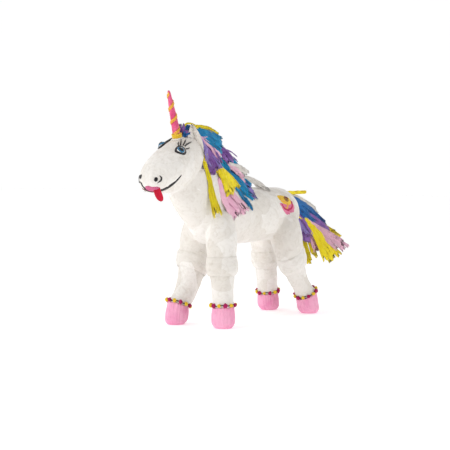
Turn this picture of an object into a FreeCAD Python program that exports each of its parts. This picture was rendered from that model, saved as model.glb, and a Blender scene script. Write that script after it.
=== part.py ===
import FreeCAD, Part
import math
import os

from FreeCAD import Placement, Rotation, Vector

# A standing unicorn pinata. Millimetres, +Z up, -Y ahead (the nose), +X the animal's left.
# The origin is on the ground, midway along and across the whole figure.

# ---- driving dimensions ------------------------------------------------------------------

SIZES = {
    "barrel_radius": 64,
    "barrel_swell": 2,
    "barrel_height": 259,
    "barrel_ahead": 202,
    "barrel_behind": 202,
    "barrel_wall": 4.5,
    "flap_ahead": 72,
    "flap_length": 76,
    "flap_width": 72,
    "flap_gap": 0.6,
    "tape_width": 8,
    "tape_thick": 0.8,
    "dowel_radius": 4,
    "dowel_drop": 22,
    "dowel_station": -12,
    "pad_length": 16,
    "head_wall": 4,
    "neck_wall": 4,
    "leg_wall": 6,
    "wrap_thick": 2,
    "wrap_height": 26,
    "hoof_radius": 27,
    "hoof_sole_radius": 27,
    "cord_radius": 1.2,
    "bead_radius": 4.6,
    "bead_count": 12,
    "cord_stand_off": 3,
    "seat_gap": 0.3,
    "horn_foot_radius": 9,
    "horn_tip_radius": 2.4,
    "horn_length": 112,
    "horn_lean": 17,
    "horn_cord_radius": 1.7,
    "horn_pitch": 33,
    "collar_radius": 2.2,
    "ear_length": 66,
    "ear_width": 32,
    "ear_thick": 5,
    "ear_turn": 30,
    "ear_lean": 14,
    "tongue_width": 15,
    "tongue_length": 27,
    "tongue_thick": 4,
    "mark_radius": 22,
    "mark_thick": 1.2,
    "mark_height": 281,
    "mark_station": 108,
    "band_width": 12,
    "strip_thick": 3,
    "strip_width": 15,
    "strip_slack": 1.5,
    "plug_radius": 15,
    "plug_length": 16,
    "plug_pitch": 15,
    "tail_drop": 43,
    "tail_spread": 80,
    "tail_fan": 54,
    "tail_root_width": 3.5,
    "tail_tip_width": 20,
    "tail_thick": 3,
    "roll_radius": 4.2,
    "roll_length": 122,
}

# Neck and head sections, from the chest up: ahead (along -Y), height, pitch of the section's
# long axis above the horizontal, half depth along that axis, half width across.
NECK = {
    "neck_chest": (94, 262, 26, 106, 57),
    "neck_low": (148, 299, 25, 96, 55),
    "neck_mid": (202, 336, 24, 81, 50),
    "neck_top": (238, 372, 22, 61, 44),
}
HEAD = {
    "head_rear": (203, 408, 74, 15, 13),
    "head_back": (220, 402, 74, 47, 36),
    "head_crown": (254, 392, 74, 63, 47),
    "head_cheek": (299, 383, 74, 62, 48),
    "head_nose": (342, 371, 74, 48, 45),
    "head_muzzle": (364, 363, 74, 39, 37),
    "head_front": (387, 357, 74, 14, 13),
}

# Leg sections from the root inside the barrel down to the top of the hoof: out from the
# middle, along (+Y), height, radius. The last entry is the middle of the hoof's sole.
LEGS = {
    "front_left": {
        "root": (34, -150, 276, 20),
        "shoulder": (51, -168, 222, 34),
        "knee": (62, -181, 135, 28.5),
        "ankle": (66, -182, 50, 24.5),
        "sole": (66, -182),
    },
    "front_right": {
        "root": (34, -128, 276, 20),
        "shoulder": (50, -132, 212, 35),
        "knee": (60, -135, 136, 31.5),
        "ankle": (70, -179, 46, 24.5),
        "sole": (72, -186),
    },
    "hind_left": {
        "root": (30, 126, 276, 20),
        "shoulder": (50, 112, 222, 38),
        "knee": (58, 140, 128, 28),
        "ankle": (65, 192, 50, 24),
        "sole": (66, 204),
    },
    "hind_right": {
        "root": (30, 150, 276, 20),
        "shoulder": (48, 166, 218, 36),
        "knee": (57, 186, 128, 28),
        "ankle": (62, 205, 46, 24),
        "sole": (62, 210),
    },
}
SIDE = {"left": 1, "right": -1}
LEG_STATIONS = ("root", "shoulder", "knee", "ankle")

# Mane strips that lie down the neck: colour of each, counted from behind the ear to the
# withers, on either side of the crest band.
LEFT_STRIPS = ("yellow", "purple", "teal", "yellow", "pink", "white", "teal", "lilac", "white")
RIGHT_STRIPS = ("pink", "teal", "purple", "yellow", "blue", "lilac", "white", "pink", "teal")
# Mane strips that stand off the crest: colour, station along the crest (0 is the crown, 1 the
# back of the head, 2 to 4 the neck's sections going down), length, lean above the horizontal.
CREST_STRIPS = (
    ("purple", 0.0, 40, 20),
    ("blue", 0.5, 38, 10),
    ("teal", 1.2, 95, 17),
    ("pink", 1.7, 90, 14),
    ("purple", 2.1, 125, 12),
    ("lilac", 2.6, 105, 9),
    ("blue", 3.0, 110, 7),
    ("white", 3.4, 105, 5),
    ("teal", 3.75, 90, 3),
    ("white", 4.0, 105, 1.5),
)

# Tail strips in order round the plug, the first straight up and the fourth to the left:
# colour and length.
TAIL_STRIPS = (
    ("white", 150),
    ("blue", 182),
    ("yellow", 202),
    ("lilac", 210),
    ("pink", 192),
    ("yellow", 178),
    ("purple", 150),
    ("pink", 178),
    ("yellow", 190),
    ("blue", 208),
    ("lilac", 200),
    ("purple", 182),
)

COLOURS = ("yellow", "white", "pink", "purple", "blue", "teal", "lilac")

# ---- document, sheet and small helpers ---------------------------------------------------

doc = FreeCAD.newDocument("UnicornPinata")
sheet = doc.addObject("Spreadsheet::Sheet", "Sizes")
ACROSS = Vector(1, 0, 0)
REACH = 400  # longer than any cutter needs to be


def fill_sheet():
    """Write every driving dimension and every section's numbers into named cells."""
    cells = dict(SIZES)
    for stations in (NECK, HEAD):
        for name, numbers in stations.items():
            for word, number in zip(("ahead", "up", "pitch", "depth", "width"), numbers):
                cells[name + "_" + word] = number
    for leg, stations in LEGS.items():
        for name, numbers in stations.items():
            for word, number in zip(("out", "along", "up", "radius"), numbers):
                cells["_".join((leg, name, word))] = number
    for row, (alias, number) in enumerate(cells.items(), start=1):
        sheet.set("A%d" % row, alias)
        sheet.set("B%d" % row, str(number))
        sheet.setAlias("B%d" % row, alias)
    doc.recompute()


def size(alias):
    return float(sheet.get(alias))


def add(kind, name, **bindings):
    """A document object whose properties are bound to expressions on the sheet."""
    thing = doc.addObject(kind, name)
    for prop, expression in bindings.items():
        thing.setExpression(prop.replace("__", "."), expression)
    return thing


def place(thing, base, rotation=None):
    thing.Placement = Placement(base, rotation or Rotation())
    return thing


def cut(name, base, tool):
    result = doc.addObject("Part::Cut", name)
    result.Base = base
    result.Tool = tool
    return result


def common(name, base, tool):
    result = doc.addObject("Part::Common", name)
    result.Base = base
    result.Tool = tool
    return result


def group(name, members):
    """Several solids that make one sub-part; they lie clear of each other or are one mass."""
    if len(members) == 1:
        return members[0]
    result = doc.addObject("Part::MultiFuse", name)
    result.Shapes = members
    return result


def loft(name, sections):
    result = doc.addObject("Part::Loft", name)
    result.Sections = sections
    result.Solid = True
    result.Ruled = False
    return result


def box(name, low, high):
    """An axis-aligned cutter from one corner to the other."""
    result = doc.addObject("Part::Box", name)
    result.Length = high.x - low.x
    result.Width = high.y - low.y
    result.Height = high.z - low.z
    return place(result, low)


NODES = {}


def keep(node, thing):
    """Name a finished sub-part; the name is its file's name."""
    thing.Label = node
    NODES[node] = thing
    return thing


# ---- barrel ------------------------------------------------------------------------------


def barrel_outline(body, name, inset):
    """Half outline of the barrel, a slightly swollen tube with round ends, for revolving."""
    radius = size("barrel_radius") - inset
    front = -(size("barrel_ahead") - size("barrel_radius"))
    rear = size("barrel_behind") - size("barrel_radius")
    middle = (front + rear) / 2
    sketch = body.newObject("Sketcher::SketchObject", name)
    plane = [p for p in body.Origin.OriginFeatures if p.Role == "YZ_Plane"][0]
    sketch.AttachmentSupport = [(plane, "")]
    sketch.MapMode = "FlatFace"
    slant = math.sqrt(0.5)
    front_foot = Vector(front, radius, 0)
    rear_foot = Vector(rear, radius, 0)
    crown = Vector(middle, radius + size("barrel_swell"), 0)
    front_pole = Vector(front - radius, 0, 0)
    rear_pole = Vector(rear + radius, 0, 0)
    front_waist = Vector(front - radius * slant, radius * slant, 0)
    rear_waist = Vector(rear + radius * slant, radius * slant, 0)
    sketch.addGeometry(Part.Arc(front_pole, front_waist, front_foot), False)
    sketch.addGeometry(Part.Arc(front_foot, crown, rear_foot), False)
    sketch.addGeometry(Part.Arc(rear_foot, rear_waist, rear_pole), False)
    sketch.addGeometry(Part.LineSegment(rear_pole, front_pole), False)
    return sketch


def barrel_form(name, inset):
    """The barrel's solid, its surface moved in by inset (out, where inset is negative)."""
    body = doc.addObject("PartDesign::Body", name)
    sketch = barrel_outline(body, name + "_outline", inset)
    turned = body.newObject("PartDesign::Revolution", name + "_turned")
    turned.Profile = sketch
    turned.ReferenceAxis = (sketch, ["H_Axis"])
    turned.Angle = 360
    body.Tip = turned
    body.setExpression("Placement.Base.z", "Sizes.barrel_height")
    return body


def flap_box(name, inset):
    """The prism that cuts the fill flap out of the top of the barrel."""
    half = size("flap_width") / 2 - inset
    near = size("flap_ahead") + inset
    far = size("flap_ahead") + size("flap_length") - inset
    bottom = size("barrel_height")
    return box(name, Vector(-half, near, bottom), Vector(half, far, bottom + REACH))


def make_barrel():
    form = barrel_form("barrel_form", 0)
    void = barrel_form("barrel_void", size("barrel_wall"))
    whole = cut("barrel_whole", form, void)
    opened = cut("barrel_opened", whole, flap_box("flap_opening", 0))
    keep("fill_flap", common("flap_piece", whole, flap_box("flap_cutter", size("flap_gap"))))
    hole = add("Part::Cylinder", "cord_hole", Radius="Sizes.dowel_radius")
    hole.Height = REACH
    place(hole, Vector(0, size("dowel_station"), size("barrel_height")))
    keep("torso_shell", cut("barrel_shell", opened, hole))
    skin = cut("tape_skin", barrel_form("tape_form", -size("tape_thick")), form)
    edge = -size("flap_width") / 2
    low = Vector(edge - size("tape_width"), size("flap_ahead"), size("barrel_height"))
    high = Vector(edge, size("flap_ahead") + size("flap_length"), low.z + REACH)
    keep("flap_hinge_tape", common("tape_strip", skin, box("tape_cutter", low, high)))
    return form, void


def make_hanger(void):
    """A stick under the crown of the back, held at both ends by glued paper pads."""
    inner = size("barrel_radius") + size("barrel_swell") - size("barrel_wall")
    up = size("barrel_height") + inner - size("dowel_drop")
    middle = Vector(-inner, size("dowel_station"), up)
    turn = Rotation(Vector(0, 1, 0), 90)
    stick = add("Part::Cylinder", "dowel_stick", Radius="Sizes.dowel_radius")
    stick.Height = 2 * inner
    place(stick, middle, turn)
    dowel = keep("hanger_dowel", common("dowel_trimmed", stick, void))
    half = math.sqrt(inner**2 - (inner - size("dowel_drop")) ** 2)
    for side, sign in SIDE.items():
        lump = add("Part::Cylinder", "pad_lump_" + side, Radius="Sizes.dowel_radius * 2.2")
        lump.Height = REACH
        start = Vector(sign * (half - size("pad_length")), middle.y, up)
        place(lump, start, Rotation(Vector(0, 1, 0), 90 * sign))
        pad = common("pad_seated_" + side, lump, void)
        keep("hanger_pad_" + side, cut("pad_" + side, pad, dowel))


# ---- neck and head -----------------------------------------------------------------------


def oval(name, station, grow, shift=0):
    """One elliptical section across the neck or head; grow widens it, shift moves it ahead."""
    ahead = size(station + "_ahead") + shift
    pitch = math.radians(size(station + "_pitch"))
    long_axis = Vector(0, math.cos(pitch), math.sin(pitch))
    facing = Vector(0, -math.sin(pitch), math.cos(pitch))
    section = add(
        "Part::Ellipse",
        name,
        MajorRadius="Sizes.%s_depth + %g" % (station, grow),
        MinorRadius="Sizes.%s_width + %g" % (station, grow),
    )
    rotation = Rotation(long_axis, ACROSS * -1, facing, "ZXY")
    place(section, Vector(0, -ahead, size(station + "_up")), rotation)
    return section


def oval_loft(name, stations, grow, shorten=0):
    """Loft through the sections; shorten pulls the two end sections in."""
    names = list(stations)
    shifts = [shorten] + [0] * (len(names) - 2) + [-shorten]
    sections = []
    for station, shift in zip(names, shifts):
        sections.append(oval(name + "_" + station, station, grow, shift))
    return loft(name, sections)


def make_neck_and_head(barrel):
    head = oval_loft("head_form", HEAD, 0)
    neck = oval_loft("neck_form", NECK, 0)
    head_core = oval_loft("head_filling", HEAD, -size("head_wall"), size("head_wall"))
    neck_core = oval_loft("neck_filling", NECK, -size("neck_wall"))
    ends = group("neck_ends", [barrel, head])
    keep("head_core", head_core)
    keep("head_shell", cut("head_skin", head, head_core))
    keep("neck_core", cut("neck_core_trimmed", neck_core, ends))
    keep("neck_shell", cut("neck_skin", cut("neck_trimmed", neck, ends), neck_core))
    return head, neck


def make_ears(head):
    length = size("ear_length")
    half = size("ear_width") / 2
    foot = half * 0.62
    for side, sign in SIDE.items():
        body = doc.addObject("PartDesign::Body", "ear_body_" + side)
        sketch = body.newObject("Sketcher::SketchObject", "ear_outline_" + side)
        plane = [p for p in body.Origin.OriginFeatures if p.Role == "XZ_Plane"][0]
        sketch.AttachmentSupport = [(plane, "")]
        sketch.MapMode = "FlatFace"
        left = Vector(-foot, 0, 0)
        right = Vector(foot, 0, 0)
        tip = Vector(0, length, 0)
        sketch.addGeometry(Part.Arc(left, Vector(-half, length * 0.4, 0), tip), False)
        sketch.addGeometry(Part.Arc(tip, Vector(half, length * 0.4, 0), right), False)
        sketch.addGeometry(Part.LineSegment(right, left), False)
        pad = body.newObject("PartDesign::Pad", "ear_pad_" + side)
        pad.Profile = sketch
        pad.setExpression("Length", "Sizes.ear_thick")
        pad.Midplane = True
        body.Tip = pad
        turn = Rotation(Vector(0, 0, 1), sign * size("ear_turn"))
        lean = Rotation(Vector(0, 1, 0), -sign * size("ear_lean"))
        out = size("head_crown_width") * 0.68
        along = -(size("head_crown_ahead") + size("head_back_ahead")) / 2
        foot_up = size("head_crown_up") + size("head_crown_depth") * 0.4
        place(body, Vector(sign * out, along, foot_up), lean * turn)
        keep("ear_" + side, cut("ear_seated_" + side, body, head))


def make_horn(head):
    """The horn leans ahead; its cord climbs it as a right-hand helix."""
    tilt = Rotation(ACROSS, size("horn_lean"))
    axis = tilt.multVec(Vector(0, 0, 1))
    crown = size("head_crown_up") + size("head_crown_depth")
    foot = Vector(0, -size("head_crown_ahead") - 21, crown - 8)
    sunk = 14
    slope = (size("horn_foot_radius") - size("horn_tip_radius")) / size("horn_length")
    cone = add(
        "Part::Cone",
        "horn_form",
        Radius1="Sizes.horn_foot_radius + %g" % (sunk * slope),
        Radius2="Sizes.horn_tip_radius",
        Height="Sizes.horn_length + %g" % sunk,
    )
    place(cone, foot - axis * sunk, tilt)
    keep("horn_cone", cut("horn_seated", cone, head))
    start = 5
    gap = size("horn_cord_radius") + size("seat_gap") / 2
    climb = size("horn_length") - start - 6
    spine = add("Part::Helix", "horn_cord_spine", Pitch="Sizes.horn_pitch")
    spine.Height = climb
    spine.Radius = size("horn_foot_radius") - slope * start + gap
    spine.Angle = -math.degrees(math.atan(slope))
    profile = add("Part::Circle", "horn_cord_section", Radius="Sizes.horn_cord_radius")
    place(profile, Vector(float(spine.Radius), 0, 0), Rotation(ACROSS, 90))
    cord = doc.addObject("Part::Sweep", "horn_cord_wound")
    cord.Sections = [profile]
    cord.Spine = (spine, ["Edge1"])
    cord.Solid = True
    cord.Frenet = True
    place(cord, foot + axis * start, tilt)
    keep("horn_cord", cord)
    ring = add("Part::Torus", "collar_ring", Radius2="Sizes.collar_radius")
    ring.Radius1 = size("horn_foot_radius") + size("collar_radius") + size("seat_gap")
    place(ring, foot + axis * (start - size("collar_radius") - 3.4), tilt)
    keep("horn_collar", cut("collar_seated", ring, head))


def make_tongue(head):
    """A flat strip with a round tip that hangs from the front of the mouth, left of middle."""
    body = doc.addObject("PartDesign::Body", "tongue_body")
    sketch = body.newObject("Sketcher::SketchObject", "tongue_outline")
    plane = [p for p in body.Origin.OriginFeatures if p.Role == "XZ_Plane"][0]
    sketch.AttachmentSupport = [(plane, "")]
    sketch.MapMode = "FlatFace"
    half = size("tongue_width") / 2
    low = half - size("tongue_length")
    top = 12
    left = Vector(-half, low, 0)
    right = Vector(half, low, 0)
    sketch.addGeometry(Part.LineSegment(Vector(-half, top, 0), left), False)
    sketch.addGeometry(Part.Arc(left, Vector(0, low - half, 0), right), False)
    sketch.addGeometry(Part.LineSegment(right, Vector(half, top, 0)), False)
    sketch.addGeometry(Part.LineSegment(Vector(half, top, 0), Vector(-half, top, 0)), False)
    pad = body.newObject("PartDesign::Pad", "tongue_pad")
    pad.Profile = sketch
    pad.setExpression("Length", "Sizes.tongue_thick")
    body.Tip = pad
    chin = Vector(22, -size("head_muzzle_ahead") - 12, size("head_muzzle_up") - 27)
    place(body, chin, Rotation(Vector(0, 0, 1), 30))
    keep("tongue", cut("tongue_seated", body, head))


# ---- legs --------------------------------------------------------------------------------


def leg_points(leg):
    """The middle of each section, from the barrel down, and of the sole."""
    side = SIDE[leg.split("_")[1]]
    points = []
    for station in LEG_STATIONS:
        stem = "%s_%s_" % (leg, station)
        points.append(Vector(side * size(stem + "out"), size(stem + "along"), size(stem + "up")))
    stem = leg + "_sole_"
    points.append(Vector(side * size(stem + "out"), size(stem + "along"), 0))
    return points


def leg_facing(points, index):
    """The direction down the leg at one of its sections."""
    above = points[max(index - 1, 0)]
    below = points[index + 1]
    return (below - above).normalize()


def ring_at(name, middle, facing, radius):
    section = add("Part::Circle", name, Radius=radius)
    return place(section, middle, Rotation(Vector(0, 0, 1), facing))


def leg_loft(name, leg, grow):
    points = leg_points(leg)
    sections = []
    for index, station in enumerate(LEG_STATIONS):
        radius = "Sizes.%s_%s_radius + %g" % (leg, station, grow)
        facing = leg_facing(points, index)
        sections.append(ring_at("%s_%s" % (name, station), points[index], facing, radius))
    return loft(name, sections)


def make_leg(leg, trunk):
    points = leg_points(leg)
    form = leg_loft("form_" + leg, leg, 0)
    filling = leg_loft("filling_" + leg, leg, -size("leg_wall"))
    keep("leg_core_" + leg, cut("core_" + leg, filling, trunk))
    keep("leg_" + leg, cut("sleeve_" + leg, cut("sleeve_whole_" + leg, form, trunk), filling))
    knee = points[2]
    tall = size("wrap_height") / 2
    wide = size(leg + "_knee_radius") * 2
    low = knee - Vector(wide, wide, tall)
    high = knee + Vector(wide, wide, tall)
    grown = leg_loft("wrapped_" + leg, leg, size("wrap_thick"))
    slab = common("wrap_slab_" + leg, grown, box("wrap_box_" + leg, low, high))
    keep("knee_wrap_" + leg, cut("wrap_" + leg, slab, form))
    down = leg_facing(points, 3)
    top = ring_at("hoof_top_" + leg, points[3], down, "Sizes.hoof_radius")
    sole = ring_at("hoof_sole_" + leg, points[4], Vector(0, 0, -1), "Sizes.hoof_sole_radius")
    keep("hoof_" + leg, loft("hoof_form_" + leg, [top, sole]))
    return form


def make_anklet(leg, form):
    """A cord round the leg just above the hoof, and the pom-poms that it carries."""
    points = leg_points(leg)
    down = leg_facing(points, 3)
    thin = size("cord_radius")
    ankle = size(leg + "_ankle_radius")
    lift = max(thin, size("bead_radius")) + size("seat_gap")
    middle = points[3] - down * lift
    turn = Rotation(Vector(0, 0, 1), down * -1)
    ring = add("Part::Torus", "anklet_ring_" + leg, Radius2="Sizes.cord_radius")
    ring.Radius1 = ankle + size("cord_stand_off")
    place(ring, middle, turn)
    # The leg swells a little above the ankle, so the cord and beads are cut to lie on it.
    keep("anklet_cord_" + leg, cut("anklet_" + leg, ring, form))
    beads = {"yellow": [], "magenta": []}
    count = int(size("bead_count"))
    out = ankle + size("bead_radius") + size("seat_gap") * 2
    for index in range(count):
        angle = 2 * math.pi * (index + 0.5) / count
        arm = turn.multVec(Vector(math.cos(angle), math.sin(angle), 0))
        bead = add("Part::Sphere", "bead_%s_%d" % (leg, index), Radius="Sizes.bead_radius")
        # The sphere's seam faces outwards, clear of where the cord goes through.
        place(bead, middle + arm * out, turn.multiply(Rotation(Vector(0, 0, 1), math.degrees(angle))))
        beads["yellow" if index % 2 else "magenta"].append(bead)
    threaded = {}
    for colour, members in beads.items():
        balls = group("beads_%s_%s" % (colour, leg), members)
        bored = cut("bored_%s_%s" % (colour, leg), balls, ring)
        threaded[colour] = cut("threaded_%s_%s" % (colour, leg), bored, form)
    return threaded


def make_legs(trunk):
    forms = {}
    strung = {"yellow": [], "magenta": []}
    for leg in LEGS:
        forms[leg] = make_leg(leg, trunk)
    for leg in LEGS:
        for colour, beads in make_anklet(leg, forms[leg]).items():
            strung[colour].append(beads)
    for colour, members in strung.items():
        keep("anklet_beads_" + colour, group("all_beads_" + colour, members))
    return forms


def make_hip_marks(barrel, forms):
    for side, sign in SIDE.items():
        skin = cut("mark_skin_" + side, barrel_form("mark_form_" + side, -size("mark_thick")), barrel)
        punch = add("Part::Cylinder", "mark_punch_" + side, Radius="Sizes.mark_radius")
        punch.Height = REACH
        centre = Vector(0, size("mark_station"), size("mark_height"))
        place(punch, centre, Rotation(Vector(0, 1, 0), 90 * sign))
        disc = common("mark_disc_" + side, skin, punch)
        keep("hip_mark_" + side, cut("mark_" + side, disc, forms["hind_" + side]))


# ---- mane and tail -----------------------------------------------------------------------


def make_mane(barrel, head, neck):
    """A crest band, strips that lie down both sides of the neck and strips that stand off."""
    grown = oval_loft("mane_layer_form", NECK, size("strip_thick"))
    body = group("mane_seat", [barrel, head, neck])
    layer = cut("mane_layer", grown, body)
    half = size("band_width") / 2
    low = Vector(-half, -size("neck_top_ahead"), size("neck_low_up"))
    high = Vector(half, REACH, low.z + REACH)
    keep("mane_band", common("crest_band", layer, box("crest_cutter", low, high)))
    strips = {colour: [] for colour in COLOURS}
    lie_down_strips(layer, strips)
    stand_off_strips(grown, body, strips)
    for colour, members in strips.items():
        keep("mane_strips_" + colour, group("mane_" + colour, members))


def lie_down_strips(layer, strips):
    first = Vector(0, -192, 452)
    pitch = Vector(0, size("strip_width") + size("strip_slack"), -7)
    lengths = (150, 112, 96, 118, 124, 98, 112, 84, 70)
    edge = size("band_width") / 2 + size("strip_slack")
    sway = Rotation(ACROSS, 8)
    for side, colours in (("left", LEFT_STRIPS), ("right", RIGHT_STRIPS)):
        for index, colour in enumerate(colours):
            cutter = doc.addObject("Part::Box", "strip_cutter_%s_%d" % (side, index))
            cutter.Length = REACH
            cutter.setExpression("Width", "Sizes.strip_width")
            cutter.Height = lengths[index]
            start = edge if side == "left" else -edge - REACH
            corner = Vector(start, 0, 0) + first + pitch * index
            drop = sway.multVec(Vector(0, 0, -lengths[index]))
            place(cutter, corner + drop, sway)
            name = "strip_%s_%d" % (side, index)
            strips[colour].append(common(name, layer, cutter))


def crest_point(station):
    """A point on the crest: 0 is the crown, 1 the back of the head, then the neck's sections."""
    line = []
    for name in ("head_crown", "head_back", "neck_top", "neck_mid", "neck_low"):
        pitch = math.radians(size(name + "_pitch"))
        depth = size(name + "_depth")
        rear = -size(name + "_ahead") + depth * math.cos(pitch)
        line.append(Vector(0, rear, size(name + "_up") + depth * math.sin(pitch)))
    index = min(max(int(math.floor(station)), 0), len(line) - 2)
    return line[index] + (line[index + 1] - line[index]) * (station - index)


def wedge(name, length, near, far, thick):
    """A flat strip that starts near wide and ends far wide, along its own Y axis."""
    plate = doc.addObject("Part::Wedge", name)
    plate.Xmin, plate.Xmax = -near / 2, near / 2
    plate.X2min, plate.X2max = -far / 2, far / 2
    plate.Ymin, plate.Ymax = 0, length
    plate.Zmin, plate.Zmax = -thick / 2, thick / 2
    plate.Z2min, plate.Z2max = -thick / 2, thick / 2
    return plate


def stand_off_strips(grown, body, strips):
    seat = group("crest_seat", [grown, body])
    wide = size("strip_width")
    sunk = 16
    for index, (colour, station, length, lean) in enumerate(CREST_STRIPS):
        along = Rotation(ACROSS, lean).multVec(Vector(0, 1, 0))
        plate = wedge("crest_plate_%d" % index, length + sunk, wide * 0.6, wide, size("strip_thick"))
        root = crest_point(station) - along * sunk
        place(plate, root, Rotation(ACROSS, along, ACROSS.cross(along), "YZX"))
        strips[colour].append(cut("crest_strip_%d" % index, plate, seat))


def make_tail(barrel):
    """A plug in the rump, strips that fan out from its end, and a rolled strip above it."""
    pitch = math.radians(size("plug_pitch"))
    axis = Vector(0, math.cos(pitch), math.sin(pitch))
    lift = Vector(0, -math.sin(pitch), math.cos(pitch))
    radius = size("barrel_radius")
    centre = Vector(0, size("barrel_behind") - radius, size("barrel_height"))
    plug = add("Part::Cylinder", "plug_form", Radius="Sizes.plug_radius")
    plug.Height = radius + size("plug_length")
    place(plug, centre, Rotation(Vector(0, 0, 1), axis))
    keep("tail_plug", cut("plug_seated", plug, barrel))
    hub = centre + axis * float(plug.Height)
    drop = math.radians(size("tail_drop"))
    trend = Vector(0, math.cos(drop), -math.sin(drop))
    rise = Vector(0, math.sin(drop), math.cos(drop))
    thick = size("tail_thick")
    ring = size("plug_radius") - thick * 0.7
    sunk = 2
    strips = {colour: [] for colour in COLOURS}
    for index, (colour, length) in enumerate(TAIL_STRIPS):
        angle = 2 * math.pi * index / len(TAIL_STRIPS)
        arm = ACROSS * math.sin(angle) + lift * math.cos(angle)
        spread = ACROSS * (size("tail_spread") * math.sin(angle))
        fan = rise * (size("tail_fan") * math.cos(angle))
        root = hub + arm * ring
        along = (hub + trend * length + spread + fan) - root
        reach = along.Length
        along.normalize()
        across = along.cross(arm).normalize()
        name = "tail_plate_%d" % index
        far = size("tail_tip_width")
        plate = wedge(name, reach + sunk, size("tail_root_width"), far, thick)
        place(plate, root - along * sunk, Rotation(across, along, across.cross(along), "YXZ"))
        strips[colour].append(cut("tail_strip_%d" % index, plate, plug))
    roll = add("Part::Cylinder", "roll_form", Radius="Sizes.roll_radius")
    roll.Height = size("roll_length")
    high = radius * 0.79
    along = Vector(0, centre.y + radius * 0.5, centre.z + high)
    place(roll, along, Rotation(Vector(0, 0, 1), Vector(0, 1, 0)))
    strips["yellow"].append(cut("roll_seated", roll, barrel))
    for colour, members in strips.items():
        if members:
            keep("tail_strips_" + colour, group("tail_" + colour, members))


# ---- build, check and write --------------------------------------------------------------


def check_and_write():
    doc.recompute()
    for thing in doc.Objects:
        if {"Invalid", "Error"} & set(thing.State):
            raise RuntimeError("%s did not compute: %s" % (thing.Name, thing.State))
    os.makedirs("parts", exist_ok=True)
    for node, thing in NODES.items():
        shape = thing.Shape
        if shape.isNull() or not shape.isValid() or not shape.Solids:
            raise RuntimeError(node + " has no valid solid")
    for node, thing in NODES.items():
        thing.Shape.exportStep(os.path.join("parts", node + ".step"))


fill_sheet()
barrel, void = make_barrel()
make_hanger(void)
head, neck = make_neck_and_head(barrel)
trunk = group("trunk", [barrel, neck, head])
make_ears(head)
make_horn(head)
make_tongue(head)
leg_forms = make_legs(trunk)
make_hip_marks(barrel, leg_forms)
make_mane(barrel, head, neck)
make_tail(barrel)
check_and_write()
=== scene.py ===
"""A crepe paper pinata unicorn, dressed over its CAD frame.

Lengths in the tables are millimetres, and +X is the animal's left.
"""
import math
import random

import bmesh
import bpy
import numpy as np
from mathutils import Matrix, Vector, noise
from mathutils.bvhtree import BVHTree


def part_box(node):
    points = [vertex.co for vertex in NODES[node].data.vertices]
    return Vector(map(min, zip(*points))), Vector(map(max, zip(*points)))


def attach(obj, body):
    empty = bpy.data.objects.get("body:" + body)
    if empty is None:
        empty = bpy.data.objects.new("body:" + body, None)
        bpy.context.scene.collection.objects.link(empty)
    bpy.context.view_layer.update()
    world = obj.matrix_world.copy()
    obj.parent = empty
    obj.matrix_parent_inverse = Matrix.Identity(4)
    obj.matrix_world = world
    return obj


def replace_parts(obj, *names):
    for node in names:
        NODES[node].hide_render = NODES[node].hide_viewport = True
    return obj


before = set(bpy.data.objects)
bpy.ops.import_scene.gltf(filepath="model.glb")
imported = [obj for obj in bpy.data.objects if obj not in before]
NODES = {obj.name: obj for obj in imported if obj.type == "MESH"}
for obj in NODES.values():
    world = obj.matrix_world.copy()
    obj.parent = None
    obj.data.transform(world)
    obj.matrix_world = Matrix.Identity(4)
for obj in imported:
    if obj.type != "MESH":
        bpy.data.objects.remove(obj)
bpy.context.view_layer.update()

MM = 0.001
LEGS = ("front_left", "front_right", "hind_left", "hind_right")
SIDES = ((1, "left"), (-1, "right"))
RIGHT, UP = Vector((1, 0, 0)), Vector((0, 0, 1))


def mm(*xyz):
    """A place or a direction given in millimetres, as a vector in metres."""
    return Vector(xyz) * MM


# ---------------------------------------------------------------- materials

class Tree:
    """The node tree of a material or a world, with short ways to add the nodes used here."""

    def __init__(self, owner):
        owner.use_nodes = True
        self.owner = owner
        self.nodes = owner.node_tree.nodes
        self.links = owner.node_tree.links
        coords = self.nodes.new("ShaderNodeTexCoord").outputs
        self.uv, self.where, self.way = coords["UV"], coords["Object"], coords["Generated"]

    def fill(self, node, values):
        """Gives each named input its constant, or joins it to another node's output."""
        for name, value in values.items():
            if isinstance(value, bpy.types.NodeSocket):
                self.links.new(value, node.inputs[name])
            else:
                node.inputs[name].default_value = value
        return node.outputs

    def add(self, kind, values):
        return self.fill(self.nodes.new("ShaderNode" + kind), values)

    def noise(self, source, scale, detail=4.0, rough=0.55, distort=0.0):
        return self.add("TexNoise", {"Vector": source, "Scale": scale, "Detail": detail, "Roughness": rough,
                                     "Distortion": distort})["Fac"]

    def stretched(self, source, scale, turn=(0, 0, 0)):
        turned = [math.radians(a) for a in turn]
        return self.add("Mapping", {"Vector": source, "Scale": scale, "Rotation": turned})["Vector"]

    def ramp(self, factor, *stops):
        made = self.nodes.new("ShaderNodeValToRGB")
        for element, (place, colour) in zip(made.color_ramp.elements, stops):
            element.position = place
            element.color = (*colour, 1)
        return self.fill(made, {"Fac": factor})["Color"]

    def multiplied(self, factor, a, b):
        made = self.nodes.new("ShaderNodeMix")
        made.data_type = "RGBA"
        made.blend_type = "MULTIPLY"
        return self.fill(made, {"Factor": factor, "A": a, "B": b})["Result"]

    def plus(self, a, b, weight):
        made = self.nodes.new("ShaderNodeMath")
        made.operation = "MULTIPLY_ADD"
        return self.fill(made, {0: b, 1: weight, 2: a})["Value"]

    def surface(self, colour, height, strength, depth, values):
        """Sets the surface's colour, its bump and its other inputs, and returns the material."""
        bump = self.add("Bump", {"Strength": strength, "Distance": depth, "Height": height})["Normal"]
        self.fill(self.nodes["Principled BSDF"], {"Base Color": colour, "Normal": bump, **values})
        return self.owner


def new_tree(name):
    return Tree(bpy.data.materials.new(name))


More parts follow.
